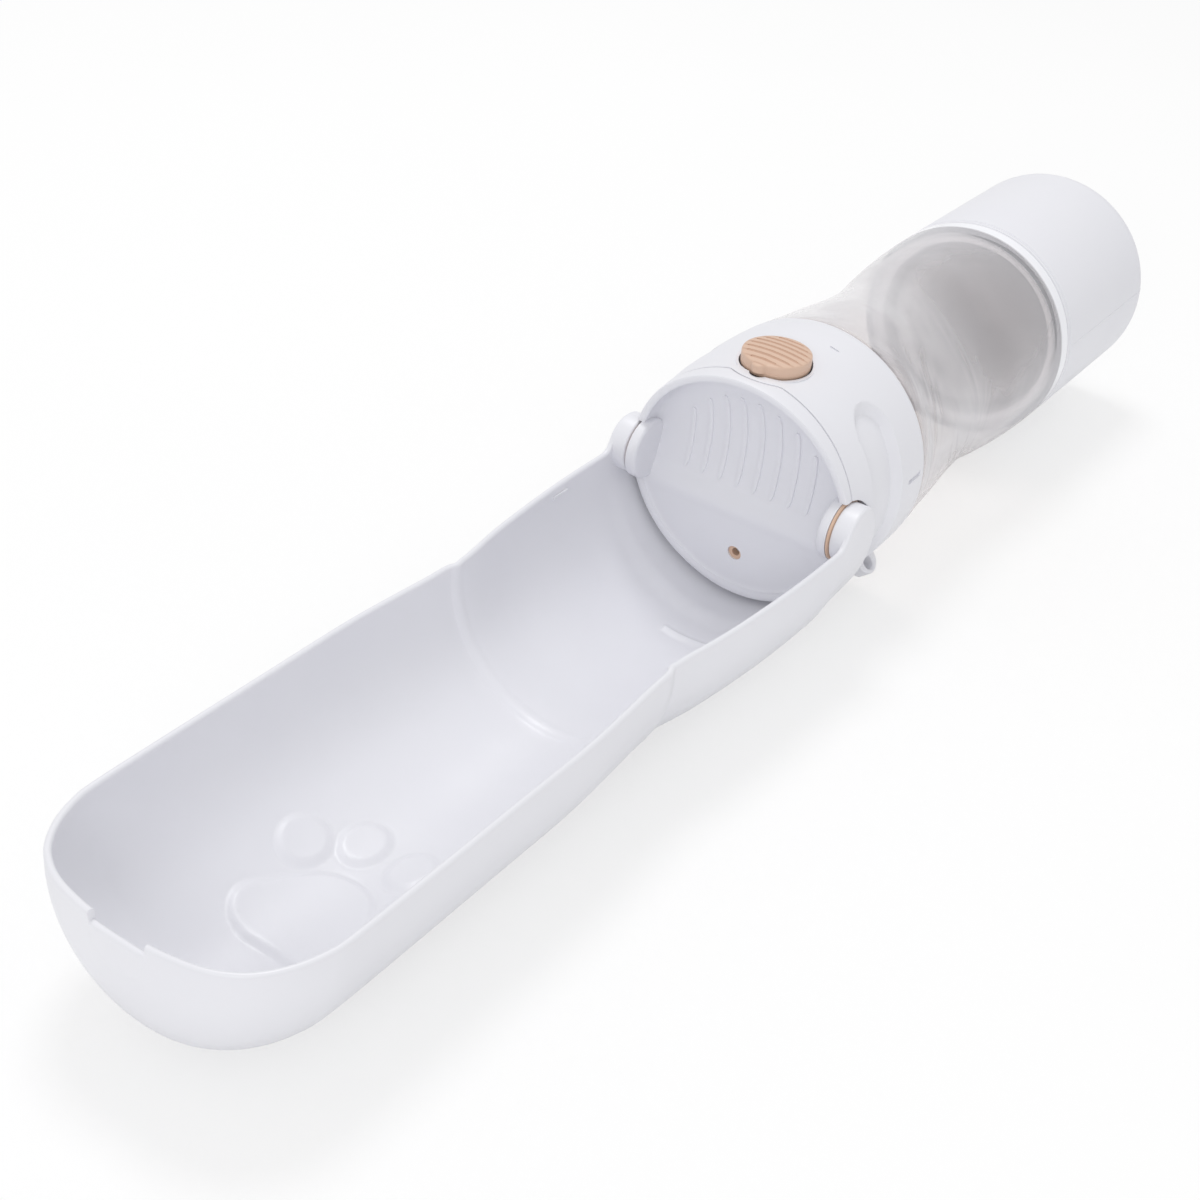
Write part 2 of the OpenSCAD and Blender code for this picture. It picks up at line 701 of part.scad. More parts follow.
module base_cup() {
    in_r = cup_r - cup_wall;
    rim_x = cup_line + 0.25;
    skin = concat(
        [[rim_x, cup_bore], [rim_x, bottle_r - 0.3], [rim_x + 0.3, bottle_r],
            [rim_x + 1.6, bottle_r], [rim_x + 1.8, bottle_r - 0.35], [rim_x + 2.2, bottle_r - 0.35],
            [rim_x + 2.4, bottle_r]],
        [for (a = [90 : -9 : 0])
            [cup_end - cup_round + cup_round * cos(a), cup_r - cup_round + cup_round * sin(a)]],
        [[cup_end, 12], [cup_end - 0.8, 11], [cup_end - 0.8, 0], [cup_end - 2.6, 0]],
        [for (a = [0 : 9 : 90])
            [cup_end - cup_round + (cup_round - cup_wall) * cos(a),
                cup_r - cup_round + (cup_round - cup_wall) * sin(a)]],
        [[cup_ledge_x + 5, in_r], [cup_ledge_x + 1.6, spigot_in - 0.4],
            [cup_ledge_x, spigot_in - 0.4], [cup_ledge_x, cup_bore]]);
    color([0.91, 0.92, 0.95]) union() {
        turned(skin, head_z);
        ridge(cup_bore + 0.5, cup_bore - thread_h, spigot_end - 4 - pitch / 2, cup_turns, 1.3, 0.6);
    }
}

placed() {
    head_shell();
    front_bowl();
    valve_housing();
    housing_gasket();
    housing_screws();
    housing_plug();
    outlet_seal();
    vent_valve();
    stem_guide();
    pivot_ring_near();
    pivot_ring_far();
    neck_gasket();
    button_cap();
    valve_stem();
    valve_spool();
    spool_seals();
    stem_clip();
    return_spring();
    trough();
    bottle();
    cup_gasket();
    base_cup();
}
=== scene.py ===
"""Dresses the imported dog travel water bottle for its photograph.

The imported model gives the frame: every piece below is built in millimetres from the trough's
hinge axis, with +X along the bottle and +Z up, and is then placed in the model's own frame in
metres.
"""

import logging
import math
from contextlib import contextmanager
from dataclasses import dataclass
from enum import Enum
from typing import Callable, Iterable, Iterator, Sequence

import bmesh
import bpy
import numpy as np
from mathutils import Matrix, Vector

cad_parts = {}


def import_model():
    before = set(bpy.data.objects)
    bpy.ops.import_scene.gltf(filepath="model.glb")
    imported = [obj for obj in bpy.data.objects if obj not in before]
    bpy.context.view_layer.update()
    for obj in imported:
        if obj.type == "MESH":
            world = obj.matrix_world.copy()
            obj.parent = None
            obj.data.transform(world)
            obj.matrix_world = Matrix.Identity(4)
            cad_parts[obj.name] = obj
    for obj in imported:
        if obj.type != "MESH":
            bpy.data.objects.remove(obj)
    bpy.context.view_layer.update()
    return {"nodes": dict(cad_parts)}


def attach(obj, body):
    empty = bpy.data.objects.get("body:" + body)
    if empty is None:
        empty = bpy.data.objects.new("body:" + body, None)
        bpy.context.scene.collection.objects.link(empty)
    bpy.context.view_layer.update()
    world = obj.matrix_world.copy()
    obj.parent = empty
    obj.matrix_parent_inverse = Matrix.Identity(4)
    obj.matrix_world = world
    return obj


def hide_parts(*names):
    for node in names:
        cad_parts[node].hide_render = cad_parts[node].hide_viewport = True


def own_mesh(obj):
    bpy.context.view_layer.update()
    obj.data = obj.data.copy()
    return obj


LOG = logging.getLogger("water_bottle")

MM = 0.001
HINGE_AT = np.array([11.0, 0.0, 43.0])
"""Place of the hinge axis in the model's frame, in millimetres."""
AXIS_Z = -1.0
"""Height of the bottle's axis, counted from the hinge axis."""
HEAD_R = 37.4
"""Radius of the head at its widest."""
BUTTON_X = 11.0
GROOVE_GAP = 2.5
"""Distance between the grooves on the button's top."""
RIB_COUNT = 8
RIB_SPACING = 5.7
FAR_OUT = 60.0
"""A distance outside every piece, where cutters end."""
WELD = 1e-4
"""Vertices nearer to each other than this many millimetres become one."""

Points = Sequence[Sequence[float]]
Place = Callable[[float, float, float], Sequence[float]]
"""Gives a point from a distance along an axis, and a radius times the angle's cosine and sine."""
Colour = tuple[float, float, float]


class Body(Enum):
    """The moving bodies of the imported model."""

    HEAD = "head"
    TROUGH = "trough"
    BUTTON = "button"
    BOTTLE = "bottle"
    FOOD_CUP = "food_cup"


# ---------------------------------------------------------------------------
# curves
# ---------------------------------------------------------------------------


def smooth_curve(points: Points, steps: int) -> np.ndarray:
    """Runs a Catmull-Rom curve through points.

    Args:
        points: the points to pass, each with any number of coordinates.
        steps: how many stretches each span gets.

    Returns:
        The curve's points, one row each.
    """
    p = np.asarray(points, float)
    last = len(p) - 1
    rows = []
    for i in range(last):
        a, b, c, d = p[max(i - 1, 0)], p[i], p[i + 1], p[min(i + 2, last)]
        for t in np.arange(steps) / steps:
            rows.append(
                0.5
                * (
                    2 * b
                    + (c - a) * t
                    + (2 * a - 5 * b + 4 * c - d) * t**2
                    + (3 * b - a - 3 * c + d) * t**3
                )
            )
    rows.append(p[-1])
    return np.array(rows)


def spaced(curve: np.ndarray, gap: Callable[[np.ndarray], float]) -> np.ndarray:
    """Takes points along a curve at a gap that may change on the way.

    Args:
        curve: a fine curve, one point a row.
        gap: the wanted distance to the next point, for a point of the curve.

    Returns:
        The chosen points, with both ends kept.
    """
    chosen = [curve[0]]
    run = 0.0
    for before, here in zip(curve[:-1], curve[1:]):
        run += float(np.linalg.norm(here - before))
        if run >= gap(here):
            chosen.append(here)
            run = 0.0
    if np.linalg.norm(chosen[-1] - curve[-1]) > 1e-6:
        chosen.append(curve[-1])
    return np.array(chosen)


def arc_points(
    centre: Sequence[float], radius: float, start: float, end: float, count: int
) -> list[list[float]]:
    """Points of a circular arc in a plane.

    Args:
        centre: the arc's centre.
        radius: its radius.
        start: the first angle in degrees.
        end: the last angle in degrees.
        count: the number of stretches.

    Returns:
        count + 1 points.
    """
    return [
        [centre[0] + radius * math.cos(a), centre[1] + radius * math.sin(a)]
        for a in np.radians(np.linspace(start, end, count + 1))
    ]


def ease(value: np.ndarray | float, low: float, high: float) -> np.ndarray:
    """Rises smoothly from 0 at low to 1 at high."""
    t = np.clip((np.asarray(value, float) - low) / (high - low), 0.0, 1.0)
    return t * t * (3.0 - 2.0 * t)


# ---------------------------------------------------------------------------
# meshes
# ---------------------------------------------------------------------------


@contextmanager
def edited(mesh: bpy.types.Mesh) -> Iterator[bmesh.types.BMesh]:
    """Opens a mesh for editing and writes it back when the block ends."""
    form = bmesh.new()
    form.from_mesh(mesh)
    yield form
    form.to_mesh(mesh)
    form.free()


def ring_about_axis(
    angle: np.ndarray, x: np.ndarray | float, radius: np.ndarray | float
) -> np.ndarray:
    """Ring of points about the bottle's axis, with an x and a radius at each angle."""
    r = np.broadcast_to(radius, angle.shape)
    across = [r * np.cos(angle), AXIS_Z + r * np.sin(angle)]
    return np.stack([np.broadcast_to(x, angle.shape), *across], 1)


class Skin:
    """Gathers vertices and faces of one piece, in millimetres from the hinge axis."""

    def __init__(self) -> None:
        """Starts with nothing."""
        self.points: list[np.ndarray] = []
        self.faces: list[tuple[int, ...]] = []
        self.count = 0

    def add(self, points: np.ndarray, faces: Iterable[Sequence[int]]) -> None:
        """Adds a batch.

        Args:
            points: the new vertices, one a row.
            faces: faces that count from the batch's first vertex.
        """
        base = self.count
        self.points.append(np.asarray(points, float).reshape(-1, 3))
        self.count += len(self.points[-1])
        self.faces.extend(tuple(base + int(i) for i in face) for face in faces)

    def merge(self, other: "Skin") -> None:
        """Adds all of another skin."""
        self.add(np.concatenate(other.points), other.faces)

    def loft(
        self, rings: np.ndarray, closed: bool = True, caps: tuple[bool, bool] = (False, False)
    ) -> None:
        """Joins rings of points with quads.

        Args:
            rings: an array of rings, points and coordinates.
            closed: whether each ring closes on itself.
            caps: whether the first and the last ring are filled with one face.
        """
        rows, cols = rings.shape[:2]
        faces: list[Sequence[int]] = []
        for here in range(0, (rows - 1) * cols, cols):
            for j in range(cols if closed else cols - 1):
                after = (j + 1) % cols
                faces.append((here + j, here + after, here + cols + after, here + cols + j))
        if caps[0]:
            faces.append(tuple(reversed(range(cols))))
        if caps[1]:
            faces.append(tuple((rows - 1) * cols + j for j in range(cols)))
        self.add(rings.reshape(-1, 3), faces)

    def turned(self, profile: Points, sides: int = 200) -> None:
        """Turns a closed profile about the bottle's axis.

        Args:
            profile: points of x and radius, in order round the section.
            sides: the number of sides of the turned body.
        """
        p = np.asarray(profile, float)
        rings = [
            np.stack([p[:, 0], p[:, 1] * math.cos(t), AXIS_Z + p[:, 1] * math.sin(t)], 1)
            for t in np.linspace(0.0, 2 * math.pi, sides, endpoint=False)
        ]
        self.loft(np.stack([*rings, rings[0]]))

    def turned_about(self, profile: Points, place: Place, sides: int) -> None:
        """Turns a closed profile about any axis.

        Args:
            profile: points of distance along the axis and radius.
            place: puts each point in its place.
            sides: the number of sides.
        """
        turns = np.linspace(0.0, 2 * math.pi, sides + 1)
        rings = [[place(h, r * math.cos(t), r * math.sin(t)) for h, r in profile] for t in turns]
        self.loft(np.array(rings))

    def block(self, low: Sequence[float], high: Sequence[float]) -> None:
        """Adds a box between two corners."""
        x, y, z = zip(low, high)
        points = np.array([[x[i], y[j], z[k]] for i in (0, 1) for j in (0, 1) for k in (0, 1)])
        ends = [(0, 1, 3, 2), (4, 6, 7, 5)]
        self.add(points, ends + [(0, 4, 5, 1), (2, 3, 7, 6), (0, 2, 6, 4), (1, 5, 7, 3)])

    def to_mesh(self, name: str) -> bpy.types.Mesh:
        """Makes the closed mesh, in metres in the model's frame, with its faces outwards."""
        points = (np.concatenate(self.points) + HINGE_AT) * MM
        mesh = bpy.data.meshes.new(name)
        mesh.from_pydata(points.tolist(), [], self.faces)
        with edited(mesh) as form:
            bmesh.ops.remove_doubles(form, verts=form.verts, dist=WELD * MM)
            bmesh.ops.dissolve_degenerate(form, edges=form.edges, dist=1e-9)
            bmesh.ops.recalc_face_normals(form, faces=form.faces)
        mesh.update()
        return mesh

    def to_object(self, name: str) -> bpy.types.Object:
        """Makes the mesh and puts it in the scene."""
        return new_object(name, self.to_mesh(name))


def soften(mesh: bpy.types.Mesh, angle: float) -> None:
    """Shades a mesh smooth, with sharp edges above an angle in degrees."""
    mesh.shade_smooth()
    mesh.set_sharp_from_angle(angle=math.radians(angle))


def new_object(name: str, mesh: bpy.types.Mesh) -> bpy.types.Object:
    """Puts a mesh in the scene as an object at the origin."""
    piece = bpy.data.objects.new(name, mesh)
    bpy.context.scene.collection.objects.link(piece)
    return piece


def frozen(piece: bpy.types.Object) -> bpy.types.Object:
    """Applies a piece's modifiers by replacing its mesh with the finished one."""
    graph = bpy.context.evaluated_depsgraph_get()
    finished = bpy.data.meshes.new_from_object(piece.evaluated_get(graph))
    piece.modifiers.clear()
    piece.data = finished
    return piece


def cut_by(piece: bpy.types.Object, tools: Sequence[bpy.types.Object], join: bool = False) -> None:
    """Cuts tools away from a piece, or joins them to it, and deletes the tools.

    Args:
        piece: the piece that is changed.
        tools: closed objects.
        join: whether the tools are added instead of cut away.
    """
    for tool in tools:
        step = piece.modifiers.new("cut", "BOOLEAN")
        step.object = tool
        step.operation = "UNION" if join else "DIFFERENCE"
        step.solver = "EXACT"
    frozen(piece)
    for tool in tools:
        bpy.data.objects.remove(tool)


def rod(
    name: str,
    axis: str,
    radius: float,
    start: float,
    end: float,
    across: tuple[float, float],
    sides: int = 96,
) -> bpy.types.Object:
    """A plain round bar for cutting.

    Args:
        name: the object's name.
        axis: "x", "y" or "z".
        radius: its radius.
        start: where it begins on its axis.
        end: where it ends.
        across: its place on the other two axes, in their order.
        sides: the number of sides.

    Returns:
        The object.
    """
    order = {"x": (0, 1, 2), "y": (1, 0, 2), "z": (2, 0, 1)}[axis]
    rings = []
    for h in (start, end):
        ring = []
        for t in np.linspace(0.0, 2 * math.pi, sides, endpoint=False):
            point = [0.0, 0.0, 0.0]
            point[order[0]] = h
            point[order[1]] = across[0] + radius * math.cos(t)
            point[order[2]] = across[1] + radius * math.sin(t)
            ring.append(point)
        rings.append(ring)
    skin = Skin()
    skin.loft(np.array(rings), caps=(True, True))
    return skin.to_object(name)


def hinge_rods(
    name: str, radius: float, start: float, end: float, sides: int = 96
) -> list[bpy.types.Object]:
    """Bars along the hinge axis on both sides, between two distances from the middle."""
    return [
        rod(f"{name}_{k}", "y", radius, start * k, end * k, (0.0, 0.0), sides) for k in (-1, 1)
    ]


# ---------------------------------------------------------------------------
# finishes
# ---------------------------------------------------------------------------


class Wire:
    """One output of a node, usable in a Python expression."""

    def __init__(self, graph: "Graph", socket: bpy.types.NodeSocket) -> None:
        """Wraps a socket of a graph."""
        self.graph = graph
        self.socket = socket

    def _with(self, operation: str, first: "Wire | float", second: "Wire | float") -> "Wire":
        """Adds a Math node on two values."""
        return self.graph.node("ShaderNodeMath", {"operation": operation}, {0: first, 1: second})

    def __add__(self, other: "Wire | float") -> "Wire":
        """self + other."""
        return self._with("ADD", self, other)

    __radd__ = __add__

    def __sub__(self, other: "Wire | float") -> "Wire":
        """self - other."""
        return self._with("SUBTRACT", self, other)

    def __rsub__(self, other: "Wire | float") -> "Wire":
        """other - self."""
        return self._with("SUBTRACT", other, self)

    def __mul__(self, other: "Wire | float") -> "Wire":
        """self * other."""
        return self._with("MULTIPLY", self, other)

    __rmul__ = __mul__

    def __truediv__(self, other: "Wire | float") -> "Wire":
        """self / other."""
        return self._with("DIVIDE", self, other)


class Graph:
    """The node tree of one material."""

    def __init__(self, name: str) -> None:
        """Makes an empty material."""
        self.material = bpy.data.materials.new(name)
        self.material.use_nodes = True
        self.tree = self.material.node_tree
        self.tree.nodes.clear()

    def node(
        self,
        kind: str,
        settings: dict[str, object] | None = None,
        inputs: dict[int | str, object] | None = None,
        output: int | str = 0,
    ) -> Wire:
        """Adds a node.

        Args:
            kind: the node's type.
            settings: its own settings, set first; "stops" fills a colour ramp.
            inputs: values or wires for its sockets.
            output: the socket to return.

        Returns:
            That output.
        """
        made = self.tree.nodes.new(kind)
        for key, value in (settings or {}).items():
            if key == "stops":
                self._fill(made.color_ramp, value)
            else:
                setattr(made, key, value)
        for key, value in (inputs or {}).items():
            if isinstance(value, Wire):
                self.tree.links.new(value.socket, made.inputs[key])
            else:
                made.inputs[key].default_value = value
        return Wire(self, made.outputs[output])

    @staticmethod
    def _fill(ramp: bpy.types.ColorRamp, stops: Sequence[tuple[float, Colour]]) -> None:
        """Gives a ramp its stops."""
        while len(ramp.elements) < len(stops):
            ramp.elements.new(0.5)
        for element, (place, colour) in zip(ramp.elements, stops):
            element.position = place
            element.color = rgba(colour)

    def place(self) -> Wire:
        """Object coordinates in metres."""
        return self.node("ShaderNodeTexCoord", output="Object")

    def along(self, axis: str) -> Wire:
        """One object coordinate in metres, "X", "Y" or "Z"."""
        return self.node("ShaderNodeSeparateXYZ", inputs={0: self.place()}, output=axis)

    def noise(self, scale: float, detail: float = 2.0, rough: float = 0.5) -> Wire:
        """A noise value over the piece.

        Args:
            scale: waves a metre.
            detail: octaves.
            rough: how strong the fine octaves are.

        Returns:
            The noise value.
        """
        return self.node(
            "ShaderNodeTexNoise",
            inputs={"Vector": self.place(), "Scale": scale, "Detail": detail, "Roughness": rough},
        )

    def ramp(self, value: Wire, stops: Sequence[tuple[float, Colour]]) -> Wire:
        """Colours a value by a ramp."""
        return self.node("ShaderNodeValToRGB", {"stops": stops}, {"Fac": value}, "Color")

    def ranged(
        self,
        value: Wire,
        low: float,
        high: float,
        ends: tuple[float, float] = (0.0, 1.0),
        curve: str = "LINEAR",
    ) -> Wire:
        """Maps a value from one range to another and holds it at both ends.

        Args:
            value: the value.
            low: where the range begins.
            high: where it ends.
            ends: the results at low and high.
            curve: the node's interpolation.

        Returns:
            The result.
        """
        to = {"To Min": ends[0], "To Max": ends[1]}
        return self.node(
            "ShaderNodeMapRange",
            {"interpolation_type": curve},
            {"Value": value, "From Min": low, "From Max": high, **to},
            "Result",
        )

    def bump(self, height: Wire, depth: float, strength: float = 1.0) -> Wire:
        """Normal of a height, which is a share of a depth in metres."""
        inputs = {"Height": height, "Distance": depth, "Strength": strength}
        return self.node("ShaderNodeBump", inputs=inputs, output="Normal")

    def principled(self, inputs: dict[str, object]) -> Wire:
        """The all-purpose surface."""
        return self.node("ShaderNodeBsdfPrincipled", inputs=inputs, output="BSDF")

    def mixed(self, share: Wire, first: Wire, second: Wire) -> Wire:
        """Mixes two surfaces, with a share of the second."""
        inputs = {0: share, 1: first, 2: second}
        return self.node("ShaderNodeMixShader", inputs=inputs, output="Shader")

    def close(self, surface: Wire) -> bpy.types.Material:
        """Ends the tree in the surface output."""
        end = self.tree.nodes.new("ShaderNodeOutputMaterial")
        self.tree.links.new(surface.socket, end.inputs["Surface"])
        return self.material


def rgba(colour: Colour) -> tuple[float, float, float, float]:
    """A colour with full alpha."""
    return (colour[0], colour[1], colour[2], 1.0)


@dataclass(frozen=True)
class MouldedPlastic:
    """Opaque injection-moulded plastic with a faint flow tint, fine spark-eroded grain and, with a
    groove gap, painted shade in grooves.
    """

    name: str
    colour: Colour
    tint: Colour
    roughness: float = 0.42
    roughness_spread: float = 0.08
    grain: float = 3000.0
    grain_depth: float = 0.000012
    groove_gap: float = 0.0
    groove_at: float = 0.0
    groove_z: float = 0.0
    groove_half: float = 0.0006
    # Colour multiplied in along the grooves as painted shade.
    groove_shade_paint: Colour = (0.62, 0.45, 0.36)

    def material(self) -> bpy.types.Material:
        """Builds the finish."""
        g = Graph(self.name)
        colour = g.ramp(g.noise(18.0, 3.0), [(0.35, self.tint), (0.65, self.colour)])
        # Painted shade along the grooves: darker lines where shade falls in them.
        if self.groove_gap:
            colour = self.paint_groove_shade(g, colour)
        smoothest = self.roughness - self.roughness_spread / 2
        rough = g.noise(60.0, 2.0) * self.roughness_spread + smoothest
        bump = g.bump(g.noise(self.grain, 2.0, 0.6), self.grain_depth)
        inputs = {"Base Color": colour, "Roughness": rough, "Normal": bump, "IOR": 1.49}
        return g.close(g.principled(inputs))

    def paint_groove_shade(self, g: Graph, colour: Wire) -> Wire:
        """Paints shade into thin lines across X at an even gap: painted shade where the grooves
        lie.
        """
        top = g.ranged(g.along("Z"), self.groove_z, self.groove_z + 0.0003)
        phase = g.node(
            "ShaderNodeMath",
            {"operation": "PINGPONG"},
            {0: g.along("X") - self.groove_at, 1: self.groove_gap / 2},
        )
        near = g.ranged(phase, 0.0, self.groove_half, (0.5, 0.0))
        return g.node(
            "ShaderNodeMix",
            {"data_type": "RGBA", "blend_type": "MULTIPLY"},
            {0: near * top, 6: colour, 7: rgba(self.groove_shade_paint)},
            2,
        )


@dataclass(frozen=True)
class ClearPlastic:
    """Clear blown bottle plastic: see-through face on, bright and rippled towards its edges."""

    name: str
    colour: Colour = (0.91, 0.915, 0.955)
    see_through: Colour = (0.968, 0.948, 0.938)
    roughness: float = 0.03
    ripple: float = 17.0
    ripple_depth: float = 0.006
    face_on: float = 0.11
    edge_on: float = 0.8
    edge_power: float = 2.2
    milky: float = 0.7
    neck_x: float = 0.06
    calm_x: float = 0.105
    foot_x: float = 0.1485
    axis_z: float = 0.042

    def material(self) -> bpy.types.Material:
        """Builds the finish."""
        g = Graph(self.name)
        stretched = g.node(
            "ShaderNodeMapping",
            inputs={"Vector": g.place(), "Scale": (2.0, 1.0, 1.0), "Rotation": (0.0, 0.4, 0.3)},
        )
        waves = g.node(
            "ShaderNodeTexNoise",
            inputs={"Vector": stretched, "Scale": self.ripple, "Detail": 2.0, "Distortion": 1.6},
        )
        drawn = g.ranged(g.along("X"), self.neck_x, self.calm_x, (1.0, 0.12), "SMOOTHSTEP")
        bump = g.bump(waves * drawn, self.ripple_depth, 0.6)
        haze = g.noise(120.0, 2.0) * 0.04 + self.roughness
        clear = {"Color": rgba(self.see_through)}
        through = g.node("ShaderNodeBsdfTransparent", inputs=clear, output="BSDF")
        shine = g.principled(
            {"Base Color": rgba(self.colour), "Roughness": haze, "Normal": bump, "IOR": 1.5}
        )
        view = {"Blend": 0.5, "Normal": bump}
        facing = g.node("ShaderNodeLayerWeight", inputs=view, output="Facing")
        edge = g.node("ShaderNodeMath", {"operation": "POWER"}, {0: facing, 1: self.edge_power})
        share = edge * (self.edge_on - self.face_on) + self.frosted(g) * self.milky + self.face_on
        return g.close(g.mixed(share, through, shine))

    def frosted(self, g: Graph) -> Wire:
        """Share of milky, thick plastic: the ring between the wall and the threaded foot."""
        y, height = g.along("Y"), g.along("Z") - self.axis_z
        far_out = g.ranged(y * y + height * height, 0.00080, 0.00088)
        return far_out * g.ranged(g.along("X"), self.foot_x, self.foot_x + 0.0012)


@dataclass(frozen=True)
class Silicone:
    """Soft matt silicone with a dusty sheen."""

    name: str
    colour: Colour
    roughness: float = 0.6

    def material(self) -> bpy.types.Material:
        """Builds the finish."""
        g = Graph(self.name)
        dust = g.noise(220.0, 3.0)
        light = tuple(min(1.0, c * 1.08) for c in self.colour)
        colour = g.ramp(dust, [(0.3, self.colour), (0.75, light)])
        bump = g.bump(g.noise(2500.0), 0.00001)
        rough = dust * 0.1 + self.roughness
        inputs = {"Base Color": colour, "Roughness": rough, "Normal": bump, "Sheen Weight": 0.15}
        return g.close(g.principled(inputs))


@dataclass(frozen=True)
class BrightSteel:
    """Drawn stainless wire and pressed steel with fine draw lines."""

    name: str
    colour: Colour = (0.62, 0.63, 0.65)

    def material(self) -> bpy.types.Material:
        """Builds the finish."""
        g = Graph(self.name)
        rough = g.noise(900.0, 4.0, 0.7) * 0.2 + 0.18
        inputs = {"Base Color": rgba(self.colour), "Roughness": rough, "Metallic": 1.0}
        return g.close(g.principled(inputs))


WHITE = (0.805, 0.806, 0.845)
WHITE_TINT = (0.785, 0.786, 0.83)
TAN = (0.70, 0.50, 0.385)


class Finishes:
    """All finishes of the object, built once."""

    def __init__(self) -> None:
        """Builds every material."""
        self.shell = MouldedPlastic("shell_white", WHITE, WHITE_TINT).material()
        self.trough = MouldedPlastic("trough_white", WHITE, WHITE_TINT, roughness=0.36).material()
        self.cup = MouldedPlastic("cup_white", WHITE, WHITE_TINT, roughness=0.46).material()
        self.inner = MouldedPlastic(
            "inner_plastic", (0.74, 0.75, 0.77), (0.71, 0.72, 0.74), roughness=0.5
        ).material()
        self.stem = MouldedPlastic(
            "stem_plastic", (0.78, 0.78, 0.8), (0.76, 0.76, 0.78), roughness=0.3
        ).material()
        self.button = MouldedPlastic(
            "tan_button",
            TAN,
            (0.68, 0.475, 0.36),
            roughness=0.45,
            grain=2200.0,
            grain_depth=0.00002,
            # The groove settings give the top painted shade along its grooves.
            groove_gap=GROOVE_GAP * MM,
            groove_at=(BUTTON_X + HINGE_AT[0]) * MM,
            groove_z=(38.05 + HINGE_AT[2]) * MM,
        ).material()
        self.silicone = Silicone("tan_silicone", (0.66, 0.46, 0.34)).material()
        self.clear = ClearPlastic("clear_body").material()
        self.steel = BrightSteel("steel").material()


def dress(piece: bpy.types.Object, material: bpy.types.Material) -> None:
    """Gives a piece one finish in all its material slots."""
    if not piece.data.materials:
        piece.data.materials.append(material)
    for index in range(len(piece.data.materials)):
        piece.data.materials[index] = material


def finish_piece(
    piece: bpy.types.Object,
    body: Body,
    material: bpy.types.Material,
    nodes: Sequence[str] = (),
) -> None:
    """Dresses a finished piece and hands it to the frame.

    Args:
        piece: the finished object.
        body: the body that it moves with.
        material: its finish.
        nodes: the CAD nodes that it stands for.
    """
    dress(piece, material)
    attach(piece, body.value)
    if nodes:
        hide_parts(*nodes)
    LOG.info("%s: %d faces", piece.name, len(piece.data.polygons))


# ---------------------------------------------------------------------------
# trough
# ---------------------------------------------------------------------------


PAW_TOES = ((-160, 17.4), (-148.7, 8.2), (-148.7, -6.2), (-160, -15.5))
"""Centres of the paw figure's toes."""
PAW_PAD = (
    (-171, 1, 11.9), (-176, 5.4, 10.4), (-176, -3.4, 10.4),
    (-181.7, 9.8, 8.8), (-181.7, -7.8, 8.8),
)
"""Centres and radii of the discs that make its pad."""
PAW_BLEND = 0.8
"""How softly the pad's discs run into each other."""


